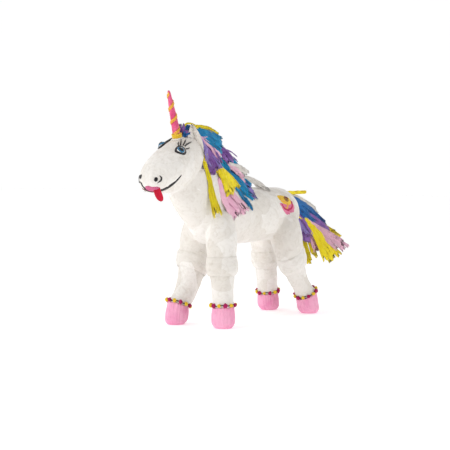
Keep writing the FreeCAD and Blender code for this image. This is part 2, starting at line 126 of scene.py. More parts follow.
def crepe(name, light, middle, dark, grain=(700, 700, 160), depth=0.0012, by_uv=False):
    """Crepe paper: fine parallel wrinkles, softer folds over them, a mottled dye, and painted shade that
    darkens the wrinkles' grooves.
    """
    tree = new_tree(name)
    fine = tree.noise(tree.stretched(tree.uv if by_uv else tree.where, grain), 1.0, 5, 0.6, 0.6)
    folds = tree.noise(tree.where, 95.0, 5, 0.6, 1.2)
    dye = tree.noise(tree.where, 26.0, 3, 0.5, 0.4)
    tint = tree.ramp(dye, (0.3, middle), (0.62, light))
    # painted shade: the colour darkens towards the dark tone where the fine wrinkles sink, in their grooves
    lines = tree.ramp(fine, (0.28, dark), (0.5, light))
    return tree.surface(tree.multiplied(0.35, tint, lines), tree.plus(fine, folds, 1.3), 0.55, depth,
                        {"Roughness": 0.85, "Sheen Weight": 0.25, "Specular IOR Level": 0.25})


def painted(name, light, dark, rough=0.5, scale=220.0, depth=0.0004, metal=0.0):
    """Brushed-on craft paint, or a dyed cord: streaky colour with a slight grain."""
    tree = new_tree(name)
    streaks = tree.noise(tree.where, scale, 5, 0.6, 0.8)
    colour = tree.ramp(streaks, (0.32, dark), (0.62, light))
    return tree.surface(colour, streaks, 0.5, depth, {"Roughness": rough, "Metallic": metal})


def newsprint(name):
    """Greyed paper pulp with faint darker rows, and glue that pooled in places."""
    tree = new_tree(name)
    rows = tree.noise(tree.stretched(tree.where, (60, 900, 60)), 1.0, 3, 0.5)
    pulp = tree.noise(tree.where, 60.0, 6, 0.65, 0.5)
    print_rows = tree.ramp(rows, (0.42, (0.30, 0.29, 0.27)), (0.56, (0.62, 0.60, 0.55)))
    paper = tree.ramp(pulp, (0.3, (0.66, 0.62, 0.54)), (0.7, (0.82, 0.79, 0.72)))
    return tree.surface(tree.multiplied(0.5, paper, print_rows), pulp, 0.5, 0.001, {"Roughness": 0.8})


def wood(name):
    """A plain dowel: straight grain along X with darker growth lines."""
    tree = new_tree(name)
    grain = tree.noise(tree.stretched(tree.where, (30, 700, 700)), 1.0, 5, 0.6, 0.4)
    colour = tree.ramp(grain, (0.35, (0.42, 0.25, 0.12)), (0.65, (0.72, 0.52, 0.31)))
    return tree.surface(colour, grain, 0.4, 0.0004, {"Roughness": 0.6})


def pasted_sheets(name):
    """White crepe in overlapping torn sheets: each a slightly different tone, with a soft ridge where they
    meet, and painted shade that darkens the grooves of the folds.
    """
    tree = new_tree(name)
    drift = tree.add("TexNoise", {"Scale": 14, "Vector": tree.where})["Color"]
    bent = tree.nodes.new("ShaderNodeVectorMath")
    bent.operation = "MULTIPLY_ADD"
    torn = tree.fill(bent, {0: drift, 1: (0.05, 0.05, 0.05), 2: tree.where})["Vector"]
    sheets = tree.add("TexVoronoi", {"Scale": 17, "Vector": torn})["Color"]
    shade = tree.add("SeparateColor", {"Color": sheets})["Red"]
    edges = tree.nodes.new("ShaderNodeTexVoronoi")
    edges.feature = "DISTANCE_TO_EDGE"
    to_edge = tree.fill(edges, {"Scale": 17, "Vector": torn})["Distance"]
    fine = tree.noise(tree.stretched(tree.where, (260, 260, 80)), 1.0, 6, 0.62, 0.8)
    cross = tree.noise(tree.stretched(tree.where, (90, 240, 240), (20, 0, 35)), 1.0, 5, 0.6, 0.8)
    folds = tree.noise(tree.where, 62.0, 6, 0.62, 1.6)
    tone = tree.ramp(shade, (0.0, (0.75, 0.71, 0.655)), (1.0, (0.88, 0.855, 0.82)))
    # painted shade: the white darkens to grey where the folds sink, in their grooves
    creases = tree.ramp(folds, (0.34, (0.80, 0.77, 0.73)), (0.5, (1, 1, 1)))
    height = tree.ramp(to_edge, (0.0, (0.35, 0.35, 0.35)), (0.05, (0, 0, 0)))
    for wrinkle, weight in ((fine, 0.5), (cross, 0.5), (folds, 1.4)):
        height = tree.plus(height, wrinkle, weight)
    return tree.surface(tree.multiplied(0.45, tone, creases), height, 0.6, 0.0016,
                        {"Roughness": 0.88, "Sheen Weight": 0.2, "Specular IOR Level": 0.2})


STRIP_GRAIN = (14, 620, 1)
# The dark tone of each colour is painted shade, which crepe() lays in the grooves of the fine wrinkles.
STRIP_COLOURS = {  # light, middle and dark tone
    "yellow": ((0.98, 0.86, 0.03), (0.88, 0.68, 0.01), (0.52, 0.34, 0.0)),
    "white": ((0.90, 0.87, 0.83), (0.80, 0.77, 0.72), (0.52, 0.49, 0.46)),
    "pink": ((0.98, 0.68, 0.79), (0.88, 0.50, 0.68), (0.62, 0.26, 0.46)),
    "purple": ((0.40, 0.22, 0.58), (0.24, 0.09, 0.38), (0.06, 0.015, 0.12)),
    "blue": ((0.02, 0.22, 0.56), (0.008, 0.07, 0.30), (0.002, 0.014, 0.09)),
    "teal": ((0.010, 0.40, 0.68), (0.004, 0.22, 0.48), (0.001, 0.05, 0.17)),
    "lilac": ((0.46, 0.36, 0.74), (0.30, 0.22, 0.58), (0.12, 0.07, 0.28)),
}
# In each crepe() call the third colour is painted shade for the wrinkles' grooves.
MATERIALS = {
    "white_crepe": pasted_sheets("white_crepe"),
    "pink_crepe": crepe("pink_crepe", (0.96, 0.54, 0.71), (0.86, 0.36, 0.57), (0.56, 0.10, 0.30),
                        grain=(420, 420, 60)),
    "horn_pink": crepe("horn_pink", (0.88, 0.21, 0.38), (0.70, 0.09, 0.25), (0.34, 0.01, 0.09),
                       grain=(260, 260, 420)),
    "yellow_pompom": painted("yellow_pompom", (0.90, 0.66, 0.03), (0.66, 0.40, 0.01), 0.9, 500, 0.0006),
    "magenta_pompom": painted("magenta_pompom", (0.55, 0.012, 0.14), (0.26, 0.004, 0.07), 0.9, 500, 0.0006),
    "gold_cord": painted("gold_cord", (0.90, 0.50, 0.06), (0.55, 0.22, 0.01), 0.35, 420, 0.0004, metal=0.25),
    "yellow_cord": crepe("yellow_cord", (0.86, 0.62, 0.05), (0.68, 0.42, 0.01), (0.40, 0.22, 0.0)),
    "black_cord": painted("black_cord", (0.030, 0.020, 0.028), (0.006, 0.004, 0.006), 0.6, 600, 0.0004),
    "red_paper": crepe("red_paper", (0.72, 0.01, 0.06), (0.52, 0.004, 0.035), (0.22, 0.0, 0.01),
                       grain=(400, 400, 200)),
    "mark_paper": crepe("mark_paper", (0.95, 0.72, 0.05), (0.80, 0.52, 0.02), (0.50, 0.24, 0.0)),
    "newspaper": newsprint("newspaper"),
    "masking_tape": crepe("masking_tape", (0.80, 0.72, 0.55), (0.72, 0.62, 0.44), (0.52, 0.42, 0.26),
                          grain=(60, 700, 60), depth=0.0005),
    "raw_wood": wood("raw_wood"),
}
for colour, tones in STRIP_COLOURS.items():
    strip = colour + "_crepe_strip"
    MATERIALS[strip] = crepe(strip, *tones, grain=STRIP_GRAIN, by_uv=True)
INK = painted("black_paint", (0.010, 0.008, 0.010), (0.003, 0.002, 0.003), 0.35, 300)
EYE_WHITE = painted("eye_white_paint", (0.88, 0.88, 0.86), (0.74, 0.75, 0.76), 0.4)
IRIS_BLUE = painted("iris_blue_paint", (0.03, 0.22, 0.38), (0.010, 0.08, 0.20), 0.3, 340)
LIP_PINK = painted("lip_pink_paint", (0.62, 0.13, 0.26), (0.44, 0.06, 0.16))
DARK_RED = painted("dark_red_paint", (0.20, 0.012, 0.014), (0.07, 0.003, 0.006))
# its third colour is painted shade in the wrinkles' grooves
MARK_PINK = crepe("mark_pink_paper", (0.86, 0.30, 0.46), (0.70, 0.18, 0.34), (0.42, 0.06, 0.16))
MARK_RED = painted("mark_red_paint", (0.58, 0.02, 0.12), (0.34, 0.006, 0.04), 0.6)


# ---------------------------------------------------------------- mesh helpers

def add_object(name, mesh, material, body="figure", slot=None):
    """A smooth piece that rides on a body, or that only stands in the scene."""
    mesh.materials.append(material)
    mesh.polygons.foreach_set("use_smooth", [True] * len(mesh.polygons))
    mesh.update()
    made = bpy.data.objects.new(name, mesh)
    bpy.context.scene.collection.objects.link(made)
    if body:
        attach(made, body)
    return made


def make_object(name, verts, faces, material, uvs, **more):
    """A piece from its faces. uvs holds one pair for each vertex."""
    mesh = bpy.data.meshes.new(name)
    mesh.from_pydata([tuple(v) for v in verts], [], faces)
    layer = mesh.uv_layers.new(name="UVMap")
    for loop in mesh.loops:
        layer.data[loop.index].uv = uvs[loop.vertex_index]
    return add_object(name, mesh, material, **more)


def bm_object(name, bm, material, **more):
    mesh = bpy.data.meshes.new(name)
    bm.to_mesh(mesh)
    return add_object(name, mesh, material, **more)


def wobble(x, y, z):
    """Smooth noise between -1 and 1 at three plain numbers."""
    return noise.noise(Vector((x, y, z)))


def ring_noise(a, scale, z):
    """Smooth noise that joins up with itself round a ring."""
    return wobble(scale * math.cos(a), scale * math.sin(a), z)


def angles(count):
    """Evenly spaced angles round a circle."""
    return [2 * math.pi * j / count for j in range(count)]


def spline_points(points, count, closed=False):
    """Evenly counted places on a smooth curve through the given points."""
    pts = [Vector(p) for p in points]
    spans = len(pts) if closed else len(pts) - 1
    made = []
    for i in range(count):
        t = i * spans / (count if closed else count - 1)
        k = min(int(t), spans - 1)
        f = t - k
        if closed:
            a, b, c, d = (pts[(k + j) % len(pts)] for j in (-1, 0, 1, 2))
        else:
            b, c = pts[k], pts[k + 1]
            a = pts[k - 1] if k else b * 2 - c
            d = pts[k + 2] if k + 2 < len(pts) else c * 2 - b
        made.append(0.5 * (2 * b + (c - a) * f + (2 * a - 5 * b + 4 * c - d) * f * f
                           + (3 * b - a - 3 * c + d) * f ** 3))
    return made


def curve_length(points):
    return sum((b - a).length for a, b in zip(points, points[1:]))


class Parts:
    """Gathers the faces of many small shapes, to be made into one piece."""

    def __init__(self):
        self.verts, self.faces, self.uvs = [], [], []

    def add(self, verts, faces, uvs=None):
        first = len(self.verts)
        self.verts += verts
        self.faces += [tuple(i + first for i in f) for f in faces]
        self.uvs += uvs if uvs is not None else [(0.0, 0.0)] * len(verts)

    def grid(self, rows, uvs=None, wrap=False, ends=False):
        """Rows of places, joined into a sheet of quads, or a tube if wrap is set. ends closes a tube."""
        across, first = len(rows[0]), len(self.verts)
        verts = [v for row in rows for v in row]
        faces = []
        for i in range(len(rows) - 1):
            for j in range(across if wrap else across - 1):
                k = (j + 1) % across
                faces.append((i * across + j, i * across + k, (i + 1) * across + k, (i + 1) * across + j))
        self.add(verts, faces, uvs)
        if ends:
            last = len(self.verts) - across
            self.faces += [tuple(first + j for j in reversed(range(across))),
                           tuple(last + j for j in range(across))]

    def sheet(self, fronts, backs, uvs=None):
        """A thin sheet from the rows of its front and the rows of its back."""
        self.grid([a + b[::-1] for a, b in zip(fronts, backs)], uvs, wrap=True, ends=True)

    def tube(self, path, radius, sides=8):
        """A round tube with closed ends. radius is one number, or a function of the share along it."""
        rows = []
        side = None
        for i, p in enumerate(path):
            t = (path[min(i + 1, len(path) - 1)] - path[max(i - 1, 0)]).normalized()
            if side is None:
                side = t.orthogonal().normalized()
            side = (side - t * side.dot(t)).normalized()
            other = t.cross(side)
            r = radius(i / (len(path) - 1)) if callable(radius) else radius
            rows.append([p + (side * math.cos(a) + other * math.sin(a)) * r for a in angles(sides)])
        self.grid(rows, wrap=True, ends=True)

    def made(self, name, material, **more):
        return make_object(name, self.verts, self.faces, material, self.uvs, **more)


def lumps(p, size, seed=0.0):
    """Soft noise between -1 and 1, with lumps about size metres across."""
    return noise.noise(Vector(p) / size + Vector((seed * 7.3, seed * 3.1, seed * 5.7)))


# ---------------------------------------------------------------- the white skin

SKIN_VOXEL = 0.0026
SKIN_RISE = 0.0019
SOLE_SAFE, SOLE_FLOOR = 0.010, 0.006  # below the first height, the coat stays above the second
FLAP_SHRINK, FLAP_MIDDLE = 0.982, 0.110
BARREL_UP, BARREL_RADIUS, BARREL_POLE, BARREL_STRAIGHT, BARREL_SWELL = 259, 64, 202, 138, 2
HATCH_HALF_WIDTH, HATCH_AHEAD, HATCH_BEHIND = 36, 72, 148


def barrel_radius(y):
    """The barrel's radius at a station along its length, in millimetres."""
    if abs(y) <= BARREL_STRAIGHT:
        return BARREL_RADIUS + BARREL_SWELL * (1 - (y / BARREL_STRAIGHT) ** 2)
    past = (abs(y) - BARREL_STRAIGHT) / (BARREL_POLE - BARREL_STRAIGHT)
    return BARREL_RADIUS * math.sqrt(max(0.0, 1 - past * past))


def barrel_solid():
    """A closed copy of the barrel's outside, with no hatch in it."""
    parts = Parts()
    stations = [BARREL_POLE * math.sin(math.pi / 2 * k / 30) for k in range(-29, 30)]
    rows = []
    for y in stations:
        r = barrel_radius(y)
        rows.append([mm(r * math.cos(a), y, BARREL_UP + r * math.sin(a)) for a in angles(72)])
    parts.grid(rows, wrap=True)
    parts.faces.append(tuple(range(72)))
    parts.faces.append(tuple(len(parts.verts) - 72 + j for j in reversed(range(72))))
    return parts


def skin_mesh():
    """Barrel, neck, head and legs run together under one coat of pasted paper."""
    parts = barrel_solid()
    shells = ["neck_shell", "head_shell", "neck_core", "head_core"]
    for name in shells + ["leg_" + leg for leg in LEGS] + ["leg_core_" + leg for leg in LEGS]:
        mesh = NODES[name].data
        parts.add([v.co.copy() for v in mesh.vertices], [tuple(p.vertices) for p in mesh.polygons])
    mesh = bpy.data.meshes.new("skin_start")
    mesh.from_pydata([tuple(v) for v in parts.verts], [], parts.faces)
    start = bpy.data.objects.new("skin_start", mesh)
    bpy.context.scene.collection.objects.link(start)
    remesh = start.modifiers.new("remesh", "REMESH")
    remesh.mode = "VOXEL"
    remesh.voxel_size = SKIN_VOXEL
    soften = start.modifiers.new("soften", "SMOOTH")
    soften.factor = 0.6
    soften.iterations = 9
    ready = start.evaluated_get(bpy.context.evaluated_depsgraph_get())
    made = bpy.data.meshes.new_from_object(ready)
    bpy.data.objects.remove(start)
    keep_outer(made)
    return made


def keep_outer(mesh):
    """Drops the inner walls that the hollow shells leave behind, and keeps the one outer surface."""
    bm = bmesh.new()
    bm.from_mesh(mesh)
    left = set(bm.verts)
    outer = []
    while left:
        group, queue = [], [left.pop()]
        while queue:
            v = queue.pop()
            group.append(v)
            for e in v.link_edges:
                other = e.other_vert(v)
                if other in left:
                    left.remove(other)
                    queue.append(other)
        if len(group) > len(outer):
            outer = group
    kept = set(outer)
    bmesh.ops.delete(bm, geom=[v for v in bm.verts if v not in kept], context="VERTS")
    bm.to_mesh(mesh)
    bm.free()


def pasted(mesh):
    """Raises the coat over the shells and gives it the dents, facets and folds of pasted paper."""
    places = [v.co.copy() for v in mesh.vertices]
    normals = [v.normal.copy() for v in mesh.vertices]
    for v, p, n in zip(mesh.vertices, places, normals):
        facets = abs(lumps(p, 0.021, 2)) * 2 - 0.55
        folds = abs(lumps(p, 0.0085, 5))
        rise = SKIN_RISE + 0.0011 * lumps(p, 0.05, 1) - 0.0009 * facets + 0.0009 * (0.4 - folds)
        v.co = p + n * max(rise, 0.0007)
        if v.co.z < SOLE_SAFE:
            v.co.z = max(v.co.z, SOLE_FLOOR)
    mesh.update()


def in_hatch(p, grow=0.0):
    """Whether a place is over the hatch's outline."""
    across = abs(p.x) < HATCH_HALF_WIDTH * MM + grow
    along = HATCH_AHEAD * MM - grow < p.y < HATCH_BEHIND * MM + grow
    return across and along and p.z > BARREL_UP * MM


def cut_hatch(mesh):
    """Cuts the coat along the hatch's outline and returns the skin and the hatch's own patch of it."""
    whole = bmesh.new()
    whole.from_mesh(mesh)
    half, ahead, behind = HATCH_HALF_WIDTH * MM, HATCH_AHEAD * MM, HATCH_BEHIND * MM
    for point, normal in (((half, 0, 0), (1, 0, 0)), ((-half, 0, 0), (-1, 0, 0)),
                          ((0, ahead, 0), (0, -1, 0)), ((0, behind, 0), (0, 1, 0))):
        near = [f for f in whole.faces if in_hatch(f.calc_center_median(), 0.01)]
        edges = {e for f in near for e in f.edges}
        verts = {v for f in near for v in f.verts}
        bmesh.ops.bisect_plane(whole, geom=list(near) + list(edges) + list(verts), dist=1e-6,
                               plane_co=point, plane_no=normal)
    flap = whole.copy()
    for half_mesh, keep_inside in ((whole, False), (flap, True)):
        gone = [f for f in half_mesh.faces if in_hatch(f.calc_center_median()) != keep_inside]
        bmesh.ops.delete(half_mesh, geom=gone, context="FACES")
    rim = [e for e in whole.edges if e.is_boundary]
    lowered = bmesh.ops.extrude_edge_only(whole, edges=rim)["geom"]
    for v in (g for g in lowered if isinstance(g, bmesh.types.BMVert)):
        v.co.z -= 0.0025
    bmesh.ops.recalc_face_normals(whole, faces=whole.faces)
    return whole, flap


def area_of(place):
    """Which piece of the coat a face belongs to, from the face's middle."""
    c = place / MM
    if c.z < 205:
        return "skin_front_legs" if c.y < 0 else "skin_hind_legs"
    return "skin_head" if c.y < -185 and c.z > 300 else "skin_neck_and_body"


SKIN_STANDS_FOR = {
    "skin_head": ("head_shell", "head_core"),
    "skin_neck_and_body": ("neck_shell", "neck_core"),
    "skin_front_legs": ("leg_front_left", "leg_front_right", "leg_core_front_left", "leg_core_front_right"),
    "skin_hind_legs": ("leg_hind_left", "leg_hind_right", "leg_core_hind_left", "leg_core_hind_right"),
}


def make_skin():
    mesh = skin_mesh()
    pasted(mesh)
    whole, flap = cut_hatch(mesh)
    for key, nodes in SKIN_STANDS_FOR.items():
        part = whole.copy()
        gone = [f for f in part.faces if area_of(f.calc_center_median()) != key]
        bmesh.ops.delete(part, geom=gone, context="FACES")
        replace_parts(bm_object(key, part, MATERIALS["white_crepe"]), *nodes)
        part.free()
    for v in flap.verts:
        v.co.x *= FLAP_SHRINK
        v.co.y = FLAP_MIDDLE + (v.co.y - FLAP_MIDDLE) * FLAP_SHRINK
    thicken(bm_object("flap_skin", flap, MATERIALS["white_crepe"], body="fill_flap"), 0.0012)
    tree = BVHTree.FromBMesh(whole)
    whole.free()
    flap.free()
    return tree


def thicken(piece, thick):
    """Gives a thin piece its paper thickness, inwards."""
    solid = piece.modifiers.new("thick", "SOLIDIFY")
    solid.thickness = thick
    solid.offset = -1.0
    ready = piece.evaluated_get(bpy.context.evaluated_depsgraph_get())
    mesh = bpy.data.meshes.new_from_object(ready)
    piece.modifiers.clear()
    piece.data = mesh


SKIN = make_skin()


def on_skin(p, lift=0.0):
    """The nearest place on the coat, raised by lift, and the way out from it."""
    place, normal, _, _ = SKIN.find_nearest(p)
    return place + normal * lift, normal


def clear_of_skin(p, gap):
    """The place itself, or pushed out to gap above the coat if it is nearer than that."""
    place, normal, _, _ = SKIN.find_nearest(p)
    if (p - place).dot(normal) < gap:
        return place + normal * gap
    return p


def mirrored(points, side):
    """Places in millimetres, on the animal's left if side is 1 and on its right if it is -1."""
    return [mm(x * side, y, z) for x, y, z in points]


def axes_on_skin(place, along):
    """The way along and the way up on the coat at a place, both at right angles to the way out."""
    _, out = on_skin(place)
    along = (along - out * out.dot(along)).normalized()
    up = out.cross(along).normalized()
    return along, up if up.z > 0 else -up


def level_axes(place):
    """The level way along the coat at a place, and the way up from it."""
    _, out = on_skin(place)
    along = out.cross(UP).normalized()
    return along, along.cross(out).normalized()


# ---------------------------------------------------------------- paint and pasted patches

def stroke(parts, points, width, lift=0.0007, ends=0.25, blunt=False, seed=0.0):
    """A raised brush stroke laid on the coat. points are metres; width is its widest, in metres."""
    count = max(10, int(curve_length(points) / 0.0016))
    line = spline_points(points, count)
    placed = [on_skin(p) for p in line]
    rows = []
    for i, (p, n) in enumerate(placed):
        t = placed[min(i + 1, count - 1)][0] - placed[max(i - 1, 0)][0]
        side = n.cross(t).normalized()
        u = i / (count - 1)
        taper = min(1.0, (u / ends) ** 0.6 if u < ends and not blunt else 1.0, ((1 - u) / ends) ** 0.6)
        w = width / 2 * max(taper, 0.05) * (1 + 0.12 * wobble(u * 9, seed, 0))
        row = []
        for k in (-1, -0.6, 0, 0.6, 1):
            q, m = on_skin(p + side * (w * k))
            row.append(q + m * (lift * (1 - 0.85 * k * k) if abs(k) < 1 else -0.0004))
        rows.append(row)
    parts.grid(rows)


def patch(parts, centre, along, up, outline, lift=0.0008, rings=6, count=40, waver=0.0, seed=0.0):
    """A thin patch pasted on the coat. outline is a list of (along, up) places in metres about the centre."""
    line = spline_points([Vector((a, b, 0)) for a, b in outline], count, closed=True)
    rows = []
    for r in range(rings + 1):
        share = max(r / rings, 0.02)
        row = []
        for j, q in enumerate(line):
            s = share * (1 + (waver * wobble(j * 0.7, seed, share) if r == rings else 0))
            p, n = on_skin(centre + along * (q.x * s) + up * (q.y * s))
            row.append(p + n * (lift * (1 - 0.5 * share ** 3) if r < rings else -0.0004))
        rows.append(row)
    parts.grid(rows, wrap=True)
    hub = len(parts.verts) - count * (rings + 1)
    parts.faces.append(tuple(hub + j for j in reversed(range(count))))


def ellipse(a, b, lean=0.0, count=14):
    return [(a * math.cos(t) * math.cos(lean) - b * math.sin(t) * math.sin(lean),
             a * math.cos(t) * math.sin(lean) + b * math.sin(t) * math.cos(lean)) for t in angles(count)]


def scaled(outline, by=1.0):
    """An outline in millimetres, in metres."""
    return [(a * by * MM, b * by * MM) for a, b in outline]


EYE = (32, -305, 419)
EYE_FAR = (25, -298, 430)
EYE_LEAN = math.radians(14)
LASHES_FAR_SHIFT = Vector((-1, 4, 3))
LASHES = (  # root, bend, tip, width
    ((24, -300, 428), (19, -296, 433), (15, -288, 438), 3.2),
    ((25, -296, 429), (20, -287, 437), (13, -276, 444), 3.6),
    ((28, -291, 429), (24, -278, 437), (19, -266, 443), 3.8),
    ((31, -288, 428), (30, -274, 434), (29, -259, 438), 4.0),
    ((35, -290, 422), (37, -284, 423), (37, -276, 425), 3.4),
)


def make_eye(side, name):
    place = EYE if side > 0 else EYE_FAR
    proud = 1.0 if side > 0 else 2.3
    centre = mirrored([place], side)[0]
    along, up = axes_on_skin(centre, Vector((0.46 * side, 0.89, 0)))
    rim, white, iris, pupil, shine, lashes = (Parts() for _ in range(6))
    almond = [(-17, -2), (-11, 8), (-1, 14), (9, 13), (15, 4), (13, -8), (3, -15), (-9, -11)]
    inner = [(-11.4, -1.4), (-7.2, 5.2), (-0.5, 9.6), (6.8, 8.8),
             (10.8, 2.6), (9.2, -5.4), (2.2, -10.8), (-6.2, -7.6)]
    turn = Matrix.Rotation(EYE_LEAN, 3, along.cross(up))
    along, up = turn @ along, turn @ up
    patch(rim, centre, along, up, scaled(almond), 0.0016 * proud, 8, 52)
    patch(white, centre, along, up, scaled(inner), 0.0022 * proud, 7, 44)
    middle = centre + along * 0.0004
    patch(iris, middle, along, up, ellipse(0.0088, 0.0102), 0.0032 * proud, 6, 36)
    patch(pupil, middle + along * 0.0004, along, up, ellipse(0.0056, 0.0070), 0.0040 * proud, 5, 28)
    glint = middle + along * 0.0022 + up * 0.0030
    patch(shine, glint, along, up, ellipse(0.0014, 0.0014), 0.0044 * proud, 3, 14)
    shift = Vector() if side > 0 else LASHES_FAR_SHIFT
    for root, bend, tip, width in LASHES:
        line = [Vector(p) + shift for p in (root, bend, tip)]
        stroke(lashes, mirrored(line, side), width * MM, 0.0019 * proud, 0.45, blunt=True)
    for part, word, material in (
            (rim, "outline", INK), (white, "white", EYE_WHITE), (iris, "iris", IRIS_BLUE),
            (pupil, "pupil", INK), (shine, "shine", EYE_WHITE), (lashes, "lashes", INK)):
        part.made(f"eye_{word}_{name}", material, slot="black_cord")


MOUTH_FRONT = ((-22, -379, 349), (-15, -386, 345), (-8, -388, 338), (1, -385, 331), (9, -378, 328))
MOUTH_SIDE = ((16, -370, 331), (22, -362, 334), (29, -353, 339),
              (36, -343, 346), (42, -332, 356), (46, -323, 365))
NOSTRILS = {1: (21, -382, 354), -1: (-19, -382, 359)}


def make_muzzle():
    mouth, lip, under, holes = Parts(), Parts(), Parts(), Parts()
    stroke(mouth, mirrored(MOUTH_FRONT, 1), 0.0058, 0.0014, 0.3)
    for side in (1, -1):
        stroke(mouth, mirrored(MOUTH_SIDE, side), 0.0122, 0.0017, 0.55, blunt=True, seed=side)
        hole = mm(*NOSTRILS[side])
        along, up = level_axes(hole)
        patch(holes, hole, along, up, ellipse(0.0044, 0.0054, 0.3 * side), 0.0026, 5, 30, 0.2, side)
        stroke(holes, mirrored(((27, -377, 363), (31, -375, 358), (30, -376, 352), (24, -381, 346)), side),
               0.0046, 0.0016, 0.3)
    front = mm(11, -383, 334)
    along, up = level_axes(front)
    shape = [(-18, 4), (-9, 6.5), (0, 6), (10, 7.5), (19, 4), (14, -3.5), (0, -5.5), (-12, -3)]
    patch(lip, front, along, up, scaled(shape), 0.0014, 6, 44, 0.1, 3)
    stroke(under, mirrored(((-15, -385, 334), (-4, -386, 330), (8, -381, 328), (18, -371, 328)), 1),
           0.0050, 0.0012, 0.3)
    mouth.made("mouth_line", INK, slot="black_cord")
    lip.made("lip_patch", LIP_PINK, slot="red_paper")
    under.made("lip_shadow_line", DARK_RED, slot="red_paper")
    holes.made("nostrils", INK, slot="black_cord")


TONGUE_HALF, TONGUE_THICK = 0.0094, 0.0016


def make_tongue():
    """A cut paper tongue that hangs from the mouth, with a crease down its middle."""
    low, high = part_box("tongue")
    parts = Parts()
    root = Vector((low.x - 0.003, (low.y + high.y) / 2 + 0.002, high.z - 0.001))
    tip = Vector((high.x + 0.001, (low.y + high.y) / 2 + 0.001, low.z - 0.005))
    across = Vector((math.cos(math.radians(30)), math.sin(math.radians(30)), 0))
    out = across.cross(UP).normalized()
    rows, back, count, wide = [], [], 18, 10
    for i in range(count):
        u = i / (count - 1)
        half = TONGUE_HALF * math.sqrt(max(0.0, 1 - max(0.0, (u - 0.55) / 0.45) ** 2.2)) * (0.78 + 0.3 * u)
        p = root.lerp(tip, u) + out * (0.004 * math.sin(math.pi * u * 0.9))
        row, under = [], []
        for j in range(wide + 1):
            k = j / wide * 2 - 1
            dent = 0.0013 * math.exp(-(k / 0.22) ** 2) - 0.0008 * (1 - k * k)
            dent += 0.0004 * lumps(p + across * k, 0.006)
            q = p + across * (half * k) - out * dent
            row.append(q)
            under.append(q - out * TONGUE_THICK)
        rows.append(row)
        back.append(under)
    parts.sheet(rows, back)
    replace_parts(parts.made("tongue_paper", MATERIALS["red_paper"]), "tongue")


HIP_MARK = (60, 104, 282)
MARK_SPREAD = 1.30


def make_hip_mark(side, name):
    """A pasted yellow scrap with a dark coil and a gold hook painted on it, over a pink and red crescent."""
    centre = mirrored([HIP_MARK], side)[0]
    along, up = axes_on_skin(centre, Vector((0, 1, 0)))

    def at(a, b):
        return centre + along * (a * MARK_SPREAD * MM) + up * (b * MARK_SPREAD * MM)

    scrap, rim, coil, gold, red = (Parts() for _ in range(5))
    yellow = [(-22, 22), (-8, 25), (8, 22), (20, 13), (16, 2), (2, -1), (-10, 2), (-20, 8)]
    patch(scrap, centre, along, up, scaled(yellow, MARK_SPREAD), 0.0011, 8, 64, 0.16, 4)
    pink = [(-26, 4), (-14, -2), (0, -6), (14, -6), (24, 2), (24, -9), (12, -19), (-4, -21), (-18, -12)]
    patch(rim, centre, along, up, scaled(pink, MARK_SPREAD), 0.0009, 8, 64, 0.14, 6)
    turns = [at(4 + 8.2 * (1 - t / 17) * math.cos(t * 0.9), 12 + 7.0 * (1 - t / 17) * math.sin(t * 0.9))
             for t in range(17)]
    stroke(coil, turns, 0.0044, 0.0018, 0.08)
    stroke(gold, [at(-15, 17), at(-16, 9), at(-6, 6), at(2, 1), at(-4, -6), at(-12, -5)], 0.0070, 0.0022, 0.2)
    stroke(red, [at(-20, 3), at(-14, -6), at(0, -10), at(13, -6), at(20, 4), at(17, 9)], 0.0080, 0.0017, 0.25)
    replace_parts(scrap.made(f"hip_scrap_{name}", MATERIALS["mark_paper"]), f"hip_mark_{name}")
    rim.made(f"hip_rim_{name}", MARK_PINK)
    coil.made(f"hip_coil_{name}", DARK_RED)
    gold.made(f"hip_hook_{name}", MATERIALS["gold_cord"], slot="mark_paper")
    red.made(f"hip_crescent_{name}", MARK_RED)


# ---------------------------------------------------------------- ears and horn

EAR_HALF, EAR_CUP, EAR_CREASE, EAR_THICK = 0.0185, 0.010, 0.004, 0.0022


def make_ear(side, name):
    """A folded paper leaf: pointed, cupped towards the front, with its lower edge run into the head."""
    low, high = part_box("ear_" + name)
    inner = low.x if side > 0 else high.x
    outer = high.x if side > 0 else low.x
    foot = Vector((outer * 0.62 + inner * 0.38, (low.y + high.y) / 2, low.z - 0.012))
    tip = Vector((inner * 0.75 + outer * 0.25, (low.y + high.y) / 2 - 0.004, high.z + 0.001))
    axis = (tip - foot).normalized()
    across = Vector((0.80 * side, 0.60, 0))
    across = (across - axis * across.dot(axis)).normalized()
    face = axis.cross(across) * side
    if face.y > 0:
        face = -face
    length = (tip - foot).length
    parts, rows, backs = Parts(), [], []
    count, wide = 30, 14
    for i in range(count):
        u = i / (count - 1)
        half = EAR_HALF * (math.sin(math.pi * min(1.0, 0.28 + 0.72 * u)) ** 0.85) * (1.0 if u < 1 else 0.02)
        half = max(half, 0.0004)
        row, back = [], []
        for j in range(wide + 1):
            k = j / wide * 2 - 1
            cup = EAR_CUP * (k * k) * (1 - 0.4 * u) - EAR_CREASE * math.exp(-(k / 0.25) ** 2)
            q = foot + axis * (length * u) + across * (half * k) + face * cup
            q += face * (0.0009 * lumps(q, 0.009, 3 + side)) + axis * (0.0008 * lumps(q, 0.006, 8))
            row.append(q)
            back.append(q - face * EAR_THICK)
        rows.append(row)
        backs.append(back)
    parts.sheet(rows, backs)
    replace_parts(parts.made("ear_leaf_" + name, MATERIALS["white_crepe"]), "ear_" + name)


